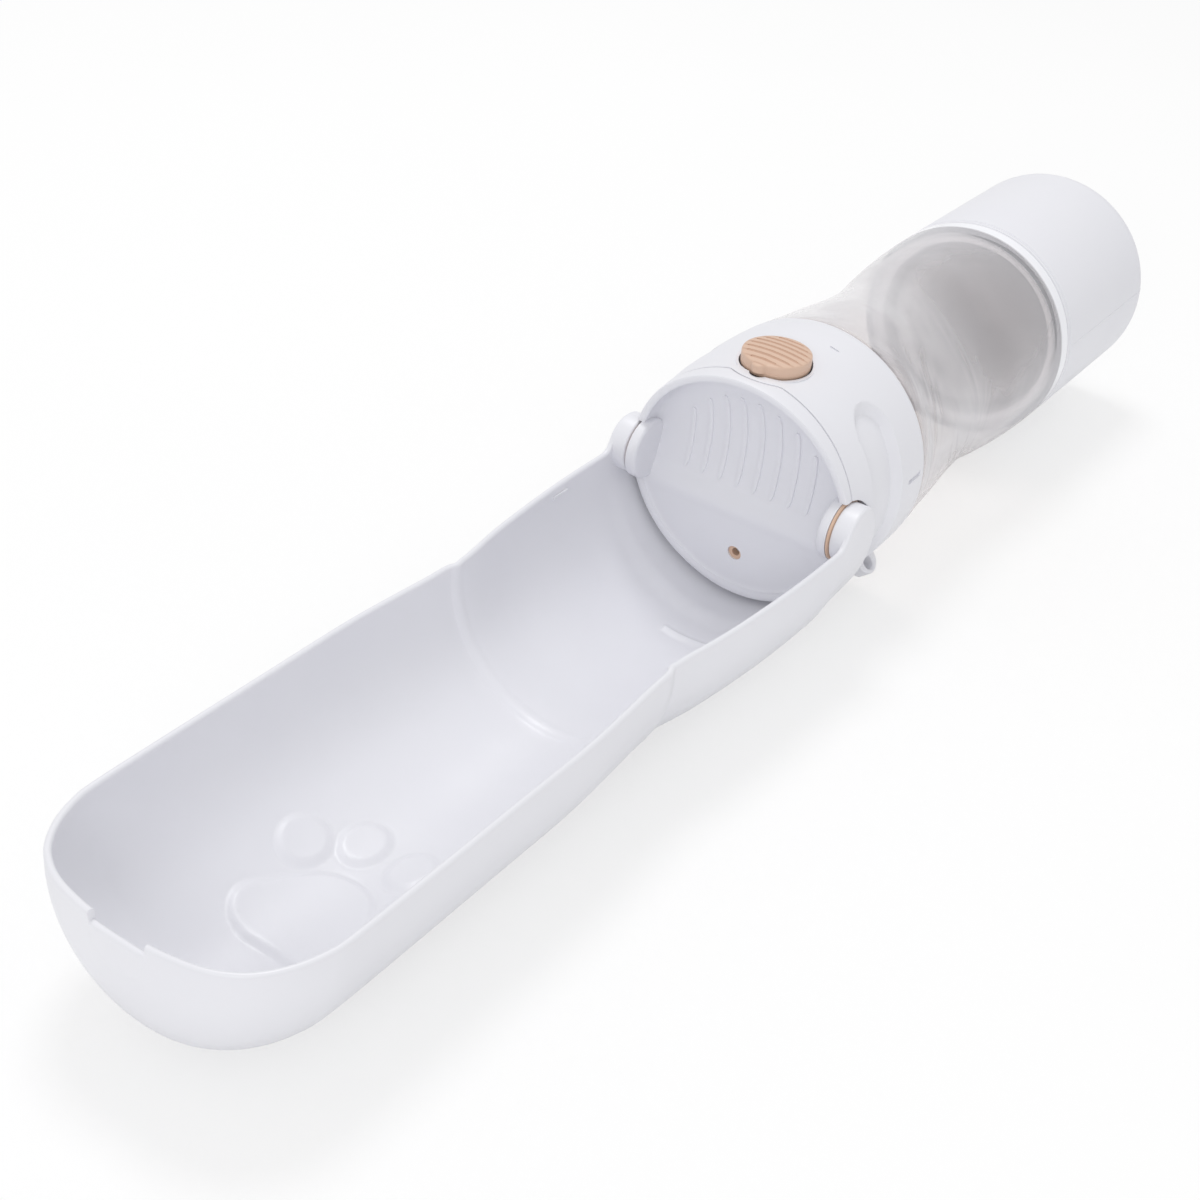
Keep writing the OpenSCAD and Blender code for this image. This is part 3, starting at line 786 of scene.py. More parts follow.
@dataclass
class Trough:
    """The fold-out drinking trough with its two ears."""

    half: float = 39.6
    length: float = 234.5
    wall: float = 1.8
    drop: float = 4.2
    hug: float = 2.4
    rear: float = 9.0
    ear_r: float = 8.5
    pin_r: float = 5.6
    step_x: float = -86.0
    foot: float = -43.0
    notch_half: float = 8.0
    notch_deep: float = 2.6
    paw_rise: float = 1.1
    paw_bevel: float = 1.8
    tab_z: float = 2.6
    tab_t: float = 0.9
    rib_x: float = -19.8
    rib_rise: float = 0.9

    def plan(self) -> np.ndarray:
        """Stations of x and half width along the outer side, from the rear edge to the tip."""
        n = self.length
        table = [
            [self.rear, 0.979], [0, 0.993], [-8, 1], [-26, 1], [-43, 0.983], [-63, 0.943],
            [-77, 0.893], [-82, 0.88], [self.step_x + 1.6, 0.874], [self.step_x - 1.2, 0.896],
            [-95, 0.906], [-108, 0.931], [-124, 0.953], [-150, 0.956], [-180, 0.959],
            [-(n - 30), 0.957], [-(n - 22.5), 0.936], [-(n - 15.5), 0.876], [-(n - 9.5), 0.781],
            [-(n - 5.5), 0.668], [-(n - 2.4), 0.506], [-(n - 0.6), 0.29], [-n, 0.12], [-n, 0.0],
        ]
        fine = smooth_curve([[x, f * self.half] for x, f in table[:-1]], 60)
        fine = np.concatenate([fine, [[-n, 0.0]]])

        def gap(p: np.ndarray) -> float:
            """Wanted spacing at a point of the plan."""
            if -200 < p[0] < -138:
                return 0.5
            if p[0] < -205:
                return 0.8
            if abs(p[0] - self.step_x) < 5:
                return 0.4
            return 1.0 if p[0] > -50 else 1.8

        chosen = spaced(fine, gap)
        notch = [i for i, p in enumerate(chosen) if p[0] < -200 and p[1] < self.notch_half]
        edge = np.array([chosen[notch[0]][0] + 0.05, self.notch_half + 0.05])
        inside = np.array([chosen[notch[0]][0], self.notch_half - 0.25])
        return np.concatenate([chosen[: notch[0]], [edge, inside], chosen[notch[0] :]])

    def rim_height(self, x: float, half_width: float) -> float:
        """Height of the rim at a station: level, up round the ear, and down in the tip's notch."""
        if x < -200:
            return -self.notch_deep if half_width < self.notch_half else 0.0
        fillet = 4.0
        foot_x = -math.sqrt(self.ear_r**2 + 2 * self.ear_r * fillet)
        join_x = foot_x * self.ear_r / (self.ear_r + fillet)
        if x < foot_x:
            return 0.0
        if x < join_x:
            return fillet - math.sqrt(max(fillet**2 - (x - foot_x) ** 2, 0.0))
        return math.sqrt(max(self.ear_r**2 - x * x, 0.0))

    def arc_height(self, x: float) -> float:
        """Height of the centre of the round floor at a station."""
        return -self.hug - (self.drop - self.hug) * float(ease(-x, 5.0, 12.0))

    def paw(self, x: np.ndarray, y: np.ndarray) -> np.ndarray:
        """How much of the raised paw figure there is at a place on the floor, 0 to 1."""
        def disc(cx: float, cy: float, r: float) -> np.ndarray:
            """Signed distance from a disc's edge."""
            return np.hypot(x - cx, y - cy) - r

        def toe(cx: float, cy: float) -> np.ndarray:
            """Rough signed distance from a toe's long round edge."""
            return (np.hypot((x - cx) / 8.1, (y - cy) / 6.1) - 1.0) * 6.6

        toes = [toe(*centre) for centre in PAW_TOES]
        pad = np.maximum(np.abs(x + 183) - 7.2, np.abs(y - 1) - 8.0)
        for cx, cy, r in PAW_PAD:
            near = np.exp(-pad / PAW_BLEND) + np.exp(-disc(cx, cy, r) / PAW_BLEND)
            pad = -PAW_BLEND * np.log(near)
        figure = np.minimum.reduce([*toes, pad])
        hollow = 0.12 * (1.0 - ease(np.abs(figure - 0.5), 0.1, 0.5))
        return np.clip(-figure / self.paw_bevel, 0.0, 1.0) - hollow

    def shell(self) -> Skin:
        """The trough's own wall and floor."""
        plan = self.plan()
        tangent = np.gradient(plan, axis=0)
        tangent /= np.linalg.norm(tangent, axis=1)[:, None]
        outward = np.stack([tangent[:, 1], -tangent[:, 0]], 1)
        outward[-1] = (-1.0, 0.0)
        outward[0] = (0.0, 1.0)
        inner = plan - outward * self.wall
        inner[:, 1] = np.maximum(inner[:, 1], 0.0)
        out_phi = np.linspace(0.0, math.pi, 73)
        in_degrees = [np.arange(0, 44, 2), np.linspace(44, 136, 124), np.arange(138, 181, 2)]
        in_phi = np.radians(np.concatenate(in_degrees))
        rim_phi = np.radians([30, 60, 90, 120, 150])
        levels = np.array([0.0, 0.25, 0.5, 0.75])
        rings = []
        for (xo, wo), (xi, wi) in zip(plan, inner):
            zc = self.arc_height(xo)
            top = self.rim_height(xo, wo)
            soft = self.wall / 2
            shoulder = max(top - soft, zc + 0.05)
            down = shoulder + (zc - shoulder) * levels
            near_out = [[xo, -wo, z] for z in down]
            floor_out = [
                [xo, -wo * math.cos(a), max(zc - wo * math.sin(a), self.foot)] for a in out_phi
            ]
            far_out = [[xo, wo, z] for z in down[::-1]]
            rim_far = self._rim((xo, wo), (xi, wi), shoulder, rim_phi)
            far_in = [[xi, wi, z] for z in down]
            y = wi * np.cos(in_phi)
            z = zc - wi * np.sin(in_phi)
            x = np.full_like(y, xi)
            lift = self.paw(x, y) * self.paw_rise if xi < -130 else np.zeros_like(y)
            rib = self.rib_rise * (1 - ease(abs(xi - self.rib_x), 0.4, 1.1))
            rib = rib * (1 - ease(np.abs(y), 7.0, 8.0))
            floor_in = np.stack([x, y, z + (lift + rib) * np.sin(in_phi)], 1).tolist()
            near_in = [[xi, -wi, z_] for z_ in down[::-1]]
            rim_near = self._rim((xi, -wi), (xo, -wo), shoulder, rim_phi)
            outside = near_out + floor_out + far_out
            rings.append(outside + rim_far + far_in + floor_in + near_in + rim_near)
        skin = Skin()
        skin.loft(np.array(rings), caps=(True, False))
        return skin

    @staticmethod
    def _rim(
        start: Sequence[float], end: Sequence[float], z: float, angles: np.ndarray
    ) -> list[list[float]]:
        """Round top of the rim, from one side of the wall to the other.

        Args:
            start: plan point where the round begins.
            end: plan point where it ends.
            z: height of both.
            angles: angles of the points between.

        Returns:
            The points between start and end.
        """
        a, b = np.array(start), np.array(end)
        middle, arm = (a + b) / 2, (a - b) / 2
        half = float(np.linalg.norm(arm))
        return [[*(middle + arm * math.cos(t)), z + half * math.sin(t)] for t in angles]

    def ears(self) -> Skin:
        """Inner discs and hinge pins of both ears, and the small tabs inside the rim."""
        skin = Skin()
        for side in (-1.0, 1.0):
            pin, ear = self.pin_r, self.ear_r
            profile = [[31.0, 0.0], [31.0, pin - 0.5], [31.5, pin], [33.9, pin], [33.9, ear - 0.6]]
            profile += arc_points((34.5, ear - 0.6), 0.6, 180, 90, 4)[1:]
            profile += [[38.6, ear], [38.6, 0.0]]
            skin.turned_about(profile, lambda h, c, s, k=side: (c, k * h, s), 72)
            low, high = sorted((side * 36.95, side * 38.4))
            skin.block((-37.4, low, -self.tab_z - self.tab_t), (-30.8, high, -self.tab_z))
        return skin

    def build(self, finishes: Finishes) -> None:
        """Makes the trough."""
        skin = self.shell()
        skin.merge(self.ears())
        piece = skin.to_object("trough_shell")
        soften(piece.data, 38)
        finish_piece(piece, Body.TROUGH, finishes.trough, ["trough"])


# ---------------------------------------------------------------------------
# head
# ---------------------------------------------------------------------------


@dataclass
class Head:
    """The head body and the slanted dish in front of it."""

    seam_x: float = 0.7
    seam_back: float = 3.1
    end_x: float = 41.0
    skirt_r: float = 33.8
    cavity_r: float = 33.5
    button_x: float = BUTTON_X
    well_r: float = 10.3
    bulge_r: float = 13.1
    well_floor: float = 30.6
    lip_x0: float = -1.1
    lip_slope: float = 0.118
    pocket_x: float = 18.3
    pocket_r: float = 8.0
    pocket_half: float = 20.2
    pocket_floor: float = 34.9
    hinge_cut_r: float = 9.2
    lip_r: float = 36.0
    face_t: float = 1.8
    mark_turn: tuple[float, float] = (74.8, 79.3)
    mark_x: tuple[float, float] = (28.5, 29.2)
    lug_x: float = 36.1
    lug_turn: float = 51.0
    sides: int = 400

    def outer_radius(self, x: np.ndarray) -> np.ndarray:
        """Outer radius of the head at stations along X."""
        r = HEAD_R
        table = smooth_curve(
            [
                [-9, r - 2.4], [-5, r - 1.8], [0, r - 1.3], [3.4, r - 1.1], [8, r - 0.6],
                [15, r - 0.1], [24, r], [31, r - 0.05], [37, r - 0.3], [40.4, r - 0.6],
                [41, r - 1.1],
            ],
            12,
        )
        return np.interp(x, table[:, 0], table[:, 1])

    def recessed(self, x: np.ndarray, angle: np.ndarray, radius: np.ndarray) -> np.ndarray:
        """Takes the upright finger pockets on both sides out of a radius.

        Args:
            x: places along X.
            angle: angles from +Y towards +Z.
            radius: the radius before.

        Returns:
            The radius after.
        """
        z = AXIS_Z + radius * np.sin(angle)
        beyond = np.maximum(np.abs(z) - self.pocket_half, 0.0)
        edge = np.hypot(x - self.pocket_x, beyond) - self.pocket_r
        deep = np.maximum(radius - self.pocket_floor, 0.0)
        return radius - deep * np.clip(-edge / 2.0, 0.0, 1.0)

    def seam(self, angle: np.ndarray) -> np.ndarray:
        """X of the line between head body and dish collar, which swerves round the button."""
        y, z = HEAD_R * np.cos(angle), AXIS_Z + HEAD_R * np.sin(angle)
        line = self.seam_x + self.seam_back * (1.0 - ease(z, -22.0, -3.0))
        swerve = self.button_x - np.sqrt(np.maximum(self.bulge_r**2 - y**2, 0.0))
        swerve = np.where((z > 10.0) & (np.abs(y) < self.bulge_r), swerve, 99.0)
        return -0.35 * np.log(np.exp(-line / 0.35) + np.exp(-swerve / 0.35))

    def body(self) -> bpy.types.Object:
        """The head body with its skirt, button well, finger hollows and hinge pockets."""
        angle = np.linspace(0.0, 2 * math.pi, self.sides, endpoint=False)
        start = self.seam(angle)
        share = np.linspace(0.0, 1.0, 84)
        x = start[None, :] + (self.end_x - 0.6 - start[None, :]) * share[:, None]
        radius = self.recessed(x, np.broadcast_to(angle, x.shape), self.outer_radius(x))
        rows = [(start + 0.25, radius[0] - 2.6), (start, radius[0] - 2.3)]
        rows += [(start, radius[0] - 0.25), (start + 0.08, radius[0] - 0.07)]
        rows += [(x[i], radius[i]) for i in range(1, len(share))]
        rows += [(self.end_x - 0.2, radius[-1] - 0.16), (self.end_x, radius[-1] - 0.6)]
        rows += [(self.end_x, self.skirt_r + 0.4), (self.end_x - 0.4, self.skirt_r)]
        rows += [(23.0, self.skirt_r), (22.0, self.skirt_r - 2.2), (20.6, self.skirt_r - 2.2)]
        rows += [(20.0, self.skirt_r), (start + 1.4, self.skirt_r)]
        rings = [ring_about_axis(angle, xx, rr) for xx, rr in rows]
        skin = Skin()
        skin.loft(np.stack([*rings, rings[0]]))
        piece = skin.to_object("head_body")
        cup = Skin()
        top = AXIS_Z + HEAD_R - 1.7
        low, reach = self.well_floor - 1.2, self.well_r + 0.8
        cup.turned_about(
            [[low, 0.0], [low, reach], [top, reach], [top, 0.0]],
            lambda h, c, s: (self.button_x + c, s, h),
            96,
        )
        cut_by(piece, [cup.to_object("well_wall")], join=True)
        nub_at, nub_floor = (self.button_x - 9.1, 0.0), self.well_floor + 1.9
        tools = [
            rod("well", "z", self.well_r, self.well_floor, FAR_OUT, (self.button_x, 0.0)),
            rod("nub_well", "z", 2.6, nub_floor, FAR_OUT, nub_at, 48),
        ]
        tools += hinge_rods("pocket", self.hinge_cut_r, 33.05, FAR_OUT)
        tools += hinge_rods("room", self.hinge_cut_r - 0.05, 20.0, 33.1)
        cut_by(piece, tools + self.grooves())
        return piece

    def grooves(self) -> list[bpy.types.Object]:
        """Cutters for the snap grooves on both sides and the short line on top."""
        made = []
        for side in (-1, 1):
            groove = Skin()
            low, high = sorted((side * (HEAD_R - 1.1), side * (HEAD_R + 4)))
            groove.block((30.5, low, 2.3), (38.1, high, 3.7))
            made.append(groove.to_object(f"snap_{side}"))
        start, end = self.mark_x
        low, high = 36.9, 39.0
        section = [(start, low), (end, low), (end, high), (start, high)]
        rings = [
            [[x, -r * math.cos(t), AXIS_Z + r * math.sin(t)] for x, r in section]
            for t in np.radians(np.linspace(*self.mark_turn, 6))
        ]
        mark = Skin()
        mark.loft(np.array(rings), caps=(True, True))
        made.append(mark.to_object("top_mark"))
        return made

    def lug(self) -> bpy.types.Object:
        """The small arch for a cord under the near side."""
        reach, half, hole, rise, soft = 4.6, 2.4, 2.2, 1.6, 0.5
        outline = [(-reach, HEAD_R - 2.0)]
        outline += [
            (reach * math.cos(a), HEAD_R + rise + reach * math.sin(a))
            for a in np.linspace(math.pi, 0, 25)
        ]
        outline += [(reach, HEAD_R - 2.0)]
        middle = HEAD_R + 2.6
        inner = []
        for px, pr in outline:
            far = math.hypot(px, pr - middle)
            inner.append((px / far * hole, middle + (pr - middle) / far * hole))
        turn = math.radians(self.lug_turn)

        def place(px: float, pr: float, t: float) -> list[float]:
            """Point of the lug from its own plan."""
            y = -pr * math.cos(turn) - t * math.sin(turn)
            return [self.lug_x + px, y, AXIS_Z - pr * math.sin(turn) + t * math.cos(turn)]

        rings = []
        for t, grow in ((-half, -soft), (-half + soft, 0.0), (half - soft, 0.0), (half, -soft)):
            k = 1 + grow / reach
            shaped = [(px * k, HEAD_R + rise + (pr - HEAD_R - rise) * k) for px, pr in outline]
            rings.append([place(px, pr, t) for px, pr in shaped])
        for t, grow in ((half, soft), (half - soft, 0.0), (-half + soft, 0.0), (-half, soft)):
            k = 1 + grow / hole
            rings.append([place(px * k, middle + (pr - middle) * k, t) for px, pr in inner])
        skin = Skin()
        skin.loft(np.array([*rings, rings[0]]))
        return skin.to_object("cord_lug")

    def face_x(self, y: np.ndarray, z: np.ndarray) -> np.ndarray:
        """X of the dish's face: a slanted flat below and a scoop above."""
        flat = self.lip_x0 - self.lip_slope * z + 0.7
        scoop = -30.5 + np.sqrt(np.maximum(35.5**2 - (z - 8.8) ** 2, 0.0))
        mix = ease(z, -13.0, -3.0)
        return flat * (1 - mix) + scoop * mix

    def dish(self) -> bpy.types.Object:
        """The dish: face, cavity wall, round lip and collar up to the seam."""
        angle = np.linspace(0.0, 2 * math.pi, self.sides, endpoint=False)
        cos, sin = np.cos(angle), np.sin(angle)

        def at(radius: np.ndarray | float, x: np.ndarray | float) -> None:
            """Adds a ring at a radius and x."""
            rings.append(ring_about_axis(angle, x, radius))

        def lip(radius: float) -> np.ndarray:
            """X of the slanted lip plane on a ring."""
            return self.lip_x0 - self.lip_slope * (AXIS_Z + radius * sin)

        def face(radius: float) -> np.ndarray:
            """X of the face on a ring."""
            return self.face_x(radius * cos, AXIS_Z + radius * sin)

        rings: list[np.ndarray] = []
        fillet = 1.2
        for radius in np.concatenate([[0.02], np.linspace(1.5, self.cavity_r - fillet, 60)]):
            at(radius, face(radius))
        face_edge = face(self.cavity_r - fillet)
        lip_in = lip(self.cavity_r)
        depth = np.maximum(face_edge - lip_in, 0.25)
        for t in np.radians([20, 45, 70]):
            drop = np.minimum(fillet, depth * 0.6) * (1 - math.cos(t))
            at(self.cavity_r - fillet + fillet * math.sin(t), face_edge - drop)
        at(self.cavity_r, lip_in + depth * 0.35)
        lip_x = lip(self.lip_r)
        width = self.outer_radius(lip_x) - self.cavity_r
        soft = np.minimum(1.0, depth + 0.4)
        lip_round = [(0, 0.35), (0.12, 0.12), (0.3, 0.02), (0.6, 0)]
        for t, k in lip_round + [(0.82, 0.08), (0.95, 0.3), (1, 0.7)]:
            at(self.cavity_r + width * t, lip_x + k * soft)
        back = self.seam(angle) - 0.4
        for share in np.linspace(0.25, 1.0, 12):
            x = lip_x + 0.7 + (back - lip_x - 0.7) * share
            at(self.outer_radius(x) - (0.12 if share == 1.0 else 0.0), x)
        at(self.outer_radius(back) - 0.4, back + 0.02)
        at(self.skirt_r - 0.15, back + 0.02)
        at(self.skirt_r - 0.2, np.maximum(face(33.0) + self.face_t, back + 0.5))
        for radius in (30.0, 26.0, 20.0, 14.0, 8.0, 3.0, 0.02):
            at(radius, face(radius) + self.face_t)
        skin = Skin()
        skin.loft(np.array(rings), caps=(True, True))
        piece = skin.to_object("dish")
        bosses = []
        for side in (-1, 1):
            boss = Skin()
            profile = [[30.2, 0.0], [29.8, 7.8]] + arc_points((31.0, 7.8), 1.2, 180, 90, 5)[1:]
            profile += [[32.95, 9.0], [32.95, 0.0]]
            boss.turned_about(profile, lambda h, c, s, k=side: (c, k * h, s), 96)
            bosses.append(boss.to_object(f"boss_{side}"))
        cut_by(piece, hinge_rods("cut", self.hinge_cut_r, 32.95, FAR_OUT))
        cut_by(piece, bosses, join=True)
        tools = hinge_rods("pin_hole", 5.65, 30.6, FAR_OUT, 64)
        tools.append(rod("outlet", "x", 2.25, -6.0, 12.0, (0.0, -23.4), 48))
        cut_by(piece, tools)
        return piece

    def rib_nodes(self) -> bpy.types.NodeTree:
        """Geometry nodes that set the row of raised ribs across the dish's scoop."""
        tree = bpy.data.node_groups.new("dish_ribs", "GeometryNodeTree")
        sockets = (
            ("Geometry", "INPUT", "Geometry", None),
            ("Spacing", "INPUT", "Float", RIB_SPACING * MM),
            ("Count", "INPUT", "Int", RIB_COUNT),
            ("Finish", "INPUT", "Material", None),
            ("Geometry", "OUTPUT", "Geometry", None),
        )
        for name, side, kind, value in sockets:
            socket = tree.interface.new_socket(name, in_out=side, socket_type=f"NodeSocket{kind}")
            if value is not None:
                socket.default_value = value

        def add(
            kind: str, inputs: dict[int | str, object], **settings: str
        ) -> bpy.types.bpy_prop_collection:
            """Adds a node with wires or values for its inputs, and returns its outputs."""
            made = tree.nodes.new(kind)
            for key, value in settings.items():
                setattr(made, key, value)
            for key, value in inputs.items():
                if isinstance(value, bpy.types.NodeSocket):
                    tree.links.new(value, made.inputs[key])
                else:
                    made.inputs[key].default_value = value
            return made.outputs

        take = add("NodeGroupInput", {})
        count, spacing = take["Count"], take["Spacing"]
        step = add("ShaderNodeCombineXYZ", {"Y": spacing})
        middle = add("ShaderNodeMath", {0: count, 1: -0.5, 2: 0.5}, operation="MULTIPLY_ADD")
        origin = add("ShaderNodeMath", {0: middle[0], 1: spacing}, operation="MULTIPLY")
        begin = add("ShaderNodeCombineXYZ", {"Y": origin[0]})
        row = {"Count": count, "Offset": step[0], "Start Location": begin[0]}
        line = add("GeometryNodeMeshLine", row, mode="OFFSET")
        strips = {"Points": line["Mesh"], "Instance": take["Geometry"]}
        place = add("GeometryNodeInstanceOnPoints", strips)
        real = add("GeometryNodeRealizeInstances", {"Geometry": place["Instances"]})
        painted = {"Geometry": real["Geometry"], "Material": take["Finish"]}
        paint = add("GeometryNodeSetMaterial", painted)
        add("NodeGroupOutput", {"Geometry": paint["Geometry"]})
        return tree

    def ribs(self, finish: bpy.types.Material) -> bpy.types.Object:
        """The eight raised ribs, each bent over the scoop and trimmed to the dish's round."""
        half, rise, last = 1.0, 0.55, (RIB_COUNT - 1) / 2
        across = [-half, -half * 0.72, -half * 0.3, half * 0.3, half * 0.72, half]
        height = [-0.3, rise * 0.8, rise, rise, rise * 0.8, -0.3]
        section = list(zip(across, height))
        rows = [[[share, a, h] for a, h in section] for share in np.linspace(0.0, 1.0, 40)]
        skin = Skin()
        skin.loft(np.array(rows), caps=(True, True))
        strip = bpy.data.meshes.new("rib_strip")
        strip.from_pydata(np.concatenate(skin.points).tolist(), [], skin.faces)
        strip.transform(Matrix.Diagonal((1.0, MM, MM, 1.0)))
        piece = new_object("dish_ribs", strip)
        tree = self.rib_nodes()
        step = piece.modifiers.new("ribs", "NODES")
        step.node_group = tree
        sockets = [item for item in tree.interface.items_tree if item.in_out == "INPUT"]
        inputs = {item.name: item.identifier for item in sockets}
        step[inputs["Spacing"]] = RIB_SPACING * MM
        step[inputs["Count"]] = RIB_COUNT
        step[inputs["Finish"]] = finish
        frozen(piece)
        for vertex in piece.data.vertices:
            share, y, lift = vertex.co.x, vertex.co.y / MM, vertex.co.z / MM
            y_mid = (round(y / RIB_SPACING + last) - last) * RIB_SPACING
            high, low = 27.5 - 0.029 * y_mid * y_mid, -2.5
            z = low + (high - low) * share
            taper = math.sqrt(max(0.0, 1 - (abs(2 * share - 1) ** 14)))
            x = float(self.face_x(np.array(0.0), np.array(z)))
            y = y_mid + (y - y_mid) * max(taper, 0.25)
            vertex.co = Vector((np.array([x - lift, y, z]) + HINGE_AT) * MM)
        with edited(piece.data) as form:
            bmesh.ops.recalc_face_normals(form, faces=form.faces)
        soften(piece.data, 50)
        return piece

    def build(self, finishes: Finishes) -> None:
        """Makes the head body, lug, dish and ribs."""
        body = self.body()
        cut_by(body, [self.lug()], join=True)
        soften(body.data, 32)
        finish_piece(body, Body.HEAD, finishes.shell, ["head_shell"])
        dish = self.dish()
        soften(dish.data, 32)
        finish_piece(dish, Body.HEAD, finishes.shell, ["front_bowl"])
        ribs = self.ribs(finishes.shell)
        finish_piece(ribs, Body.HEAD, finishes.shell, ["front_bowl"])


# ---------------------------------------------------------------------------
# button
# ---------------------------------------------------------------------------


@dataclass
class Button:
    """The grooved push button with its small nub."""

    x: float = BUTTON_X
    radius: float = 9.8
    top: float = 39.2
    skirt: float = 5.0
    nub_r: float = 2.2
    nub_h: float = 3.35
    nub_out: float = 9.1
    groove_deep: float = 0.55
    groove_half: float = 0.55
    dome: float = 0.9
    edge: float = 0.6

    def outline(self, angle: np.ndarray) -> np.ndarray:
        """Reach of the button from its centre at each angle, nub included."""
        d = np.angle(np.exp(1j * (angle - math.pi)))
        inside = self.nub_r**2 - (self.nub_out * np.sin(d)) ** 2
        reach = self.nub_out * np.cos(d) + np.sqrt(np.maximum(inside, 0))
        nub = np.where((np.cos(d) > 0) & (inside > 0), reach, 0.0)
        k = 0.15
        return k * np.log(np.exp(self.radius / k) + np.exp(nub / k))

    def build(self, finishes: Finishes) -> None:
        """Makes the button."""
        angle = np.linspace(0.0, 2 * math.pi, 240, endpoint=False)
        with_nub = self.outline(angle)
        plain = np.full_like(angle, self.radius)

        rings: list[np.ndarray] = []

        def ring(inset: float, z: float, share: float = 1.0, reach: np.ndarray = with_nub) -> None:
            """Adds a ring inside an outline by an inset, or at a share of its reach."""
            r = (reach - inset) * share
            flat = [self.x + r * np.cos(angle), r * np.sin(angle)]
            rings.append(np.stack([*flat, np.broadcast_to(z, angle.shape)], 1))

        low = self.top - self.skirt
        nub_low = self.top - self.nub_h
        side_top = self.top - self.dome
        for inset, z, share in ((1.5, low + 0.4, 0.02), (1.5, low + 0.4, 1.0), (0.3, low, 1.0)):
            ring(inset, z, share, plain)
        ring(0.0, low + 0.3, 1.0, plain)
        ring(0.0, nub_low, 1.0, plain)
        ring(0.05, nub_low + 0.02)
        ring(0.0, side_top - 2.0)
        ring(0.0, side_top - self.edge)
        for t in np.radians([22, 45, 68, 90]):
            ring(self.edge * (1 - math.cos(t)), side_top - self.edge + self.edge * math.sin(t))
        for share in np.linspace(0.95, 0.02, 24):
            ring(self.edge, side_top + self.dome * (1 - share * share), share)
        skin = Skin()
        skin.loft(np.array(rings), caps=(True, True))
        cap = skin.to_object("push_button")
        cut_by(cap, [self.groove(k) for k in range(-3, 4)])
        soften(cap.data, 50)
        finish_piece(cap, Body.BUTTON, finishes.button, ["button_cap"])

    def groove(self, index: int) -> bpy.types.Object:
        """Cutter for one of the top's parallel grooves, which follows the dome to both ends."""
        across = index * GROOVE_GAP
        x = self.x + across
        reach = math.sqrt((self.radius - 1.3) ** 2 - across**2)
        turns = np.radians(np.linspace(180, 360, 11))
        rings = []
        for share in np.linspace(-1.0, 1.0, 49):
            y = share * reach
            size = max(1.0 - abs(share) ** 24, 0.02) ** 0.5
            top = self.top - self.dome * (across**2 + y * y) / (self.radius - self.edge) ** 2
            half, deep = self.groove_half * size, self.groove_deep * size
            section = [[half * math.cos(t), deep * math.sin(t)] for t in turns]
            section += [[half * 1.6, 0.9], [-half * 1.6, 0.9]]
            rings.append([[x + px, y, top + pz] for px, pz in section])
        skin = Skin()
        skin.loft(np.array(rings), caps=(True, True))
        return skin.to_object(f"groove_{index}")


def squeezed_spring(node: bpy.types.Object, finishes: Finishes) -> None:
    """Stands a copy of the button's return spring on the head, fixed to it.

    Args:
        node: the CAD spring.
        finishes: the finishes.
    """
    mesh = node.data.copy()
    with edited(mesh) as form:
        bmesh.ops.remove_doubles(form, verts=form.verts, dist=1e-7)
    coil = new_object("return_coil", mesh)
    finish_piece(coil, Body.HEAD, finishes.steel, ["return_spring"])
    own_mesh(coil)


# ---------------------------------------------------------------------------
# hinge rings
# ---------------------------------------------------------------------------


class Side(Enum):
    """The two ends of the hinge."""

    NEAR = -1
    FAR = 1


FAR_RING_R = 7.4
"""Radius of the far ring, whose edge doesn't show beside its ear in the photograph."""


@dataclass
class HingeRing:
    """A thin tan ring between ear and head."""

    side: Side
    outer: float = 8.85
    inner: float = 5.7
    start: float = 33.02
    end: float = 33.8

    def build(self, finishes: Finishes) -> None:
        """Makes the ring."""
        a, b = self.start, self.end
        profile = [[a, self.inner], [a, self.outer - 0.2], [a + 0.15, self.outer]]
        profile += [[b - 0.15, self.outer], [b, self.outer - 0.2], [b, self.inner]]
        skin = Skin()
        skin.turned_about(profile, lambda h, c, s: (c, self.side.value * h, s), 96)
        side = self.side.name.lower()
        piece = skin.to_object(f"hinge_ring_{side}")
        soften(piece.data, 40)
        finish_piece(piece, Body.HEAD, finishes.silicone, [f"pivot_ring_{side}"])


# ---------------------------------------------------------------------------
# bottle and food cup
# ---------------------------------------------------------------------------


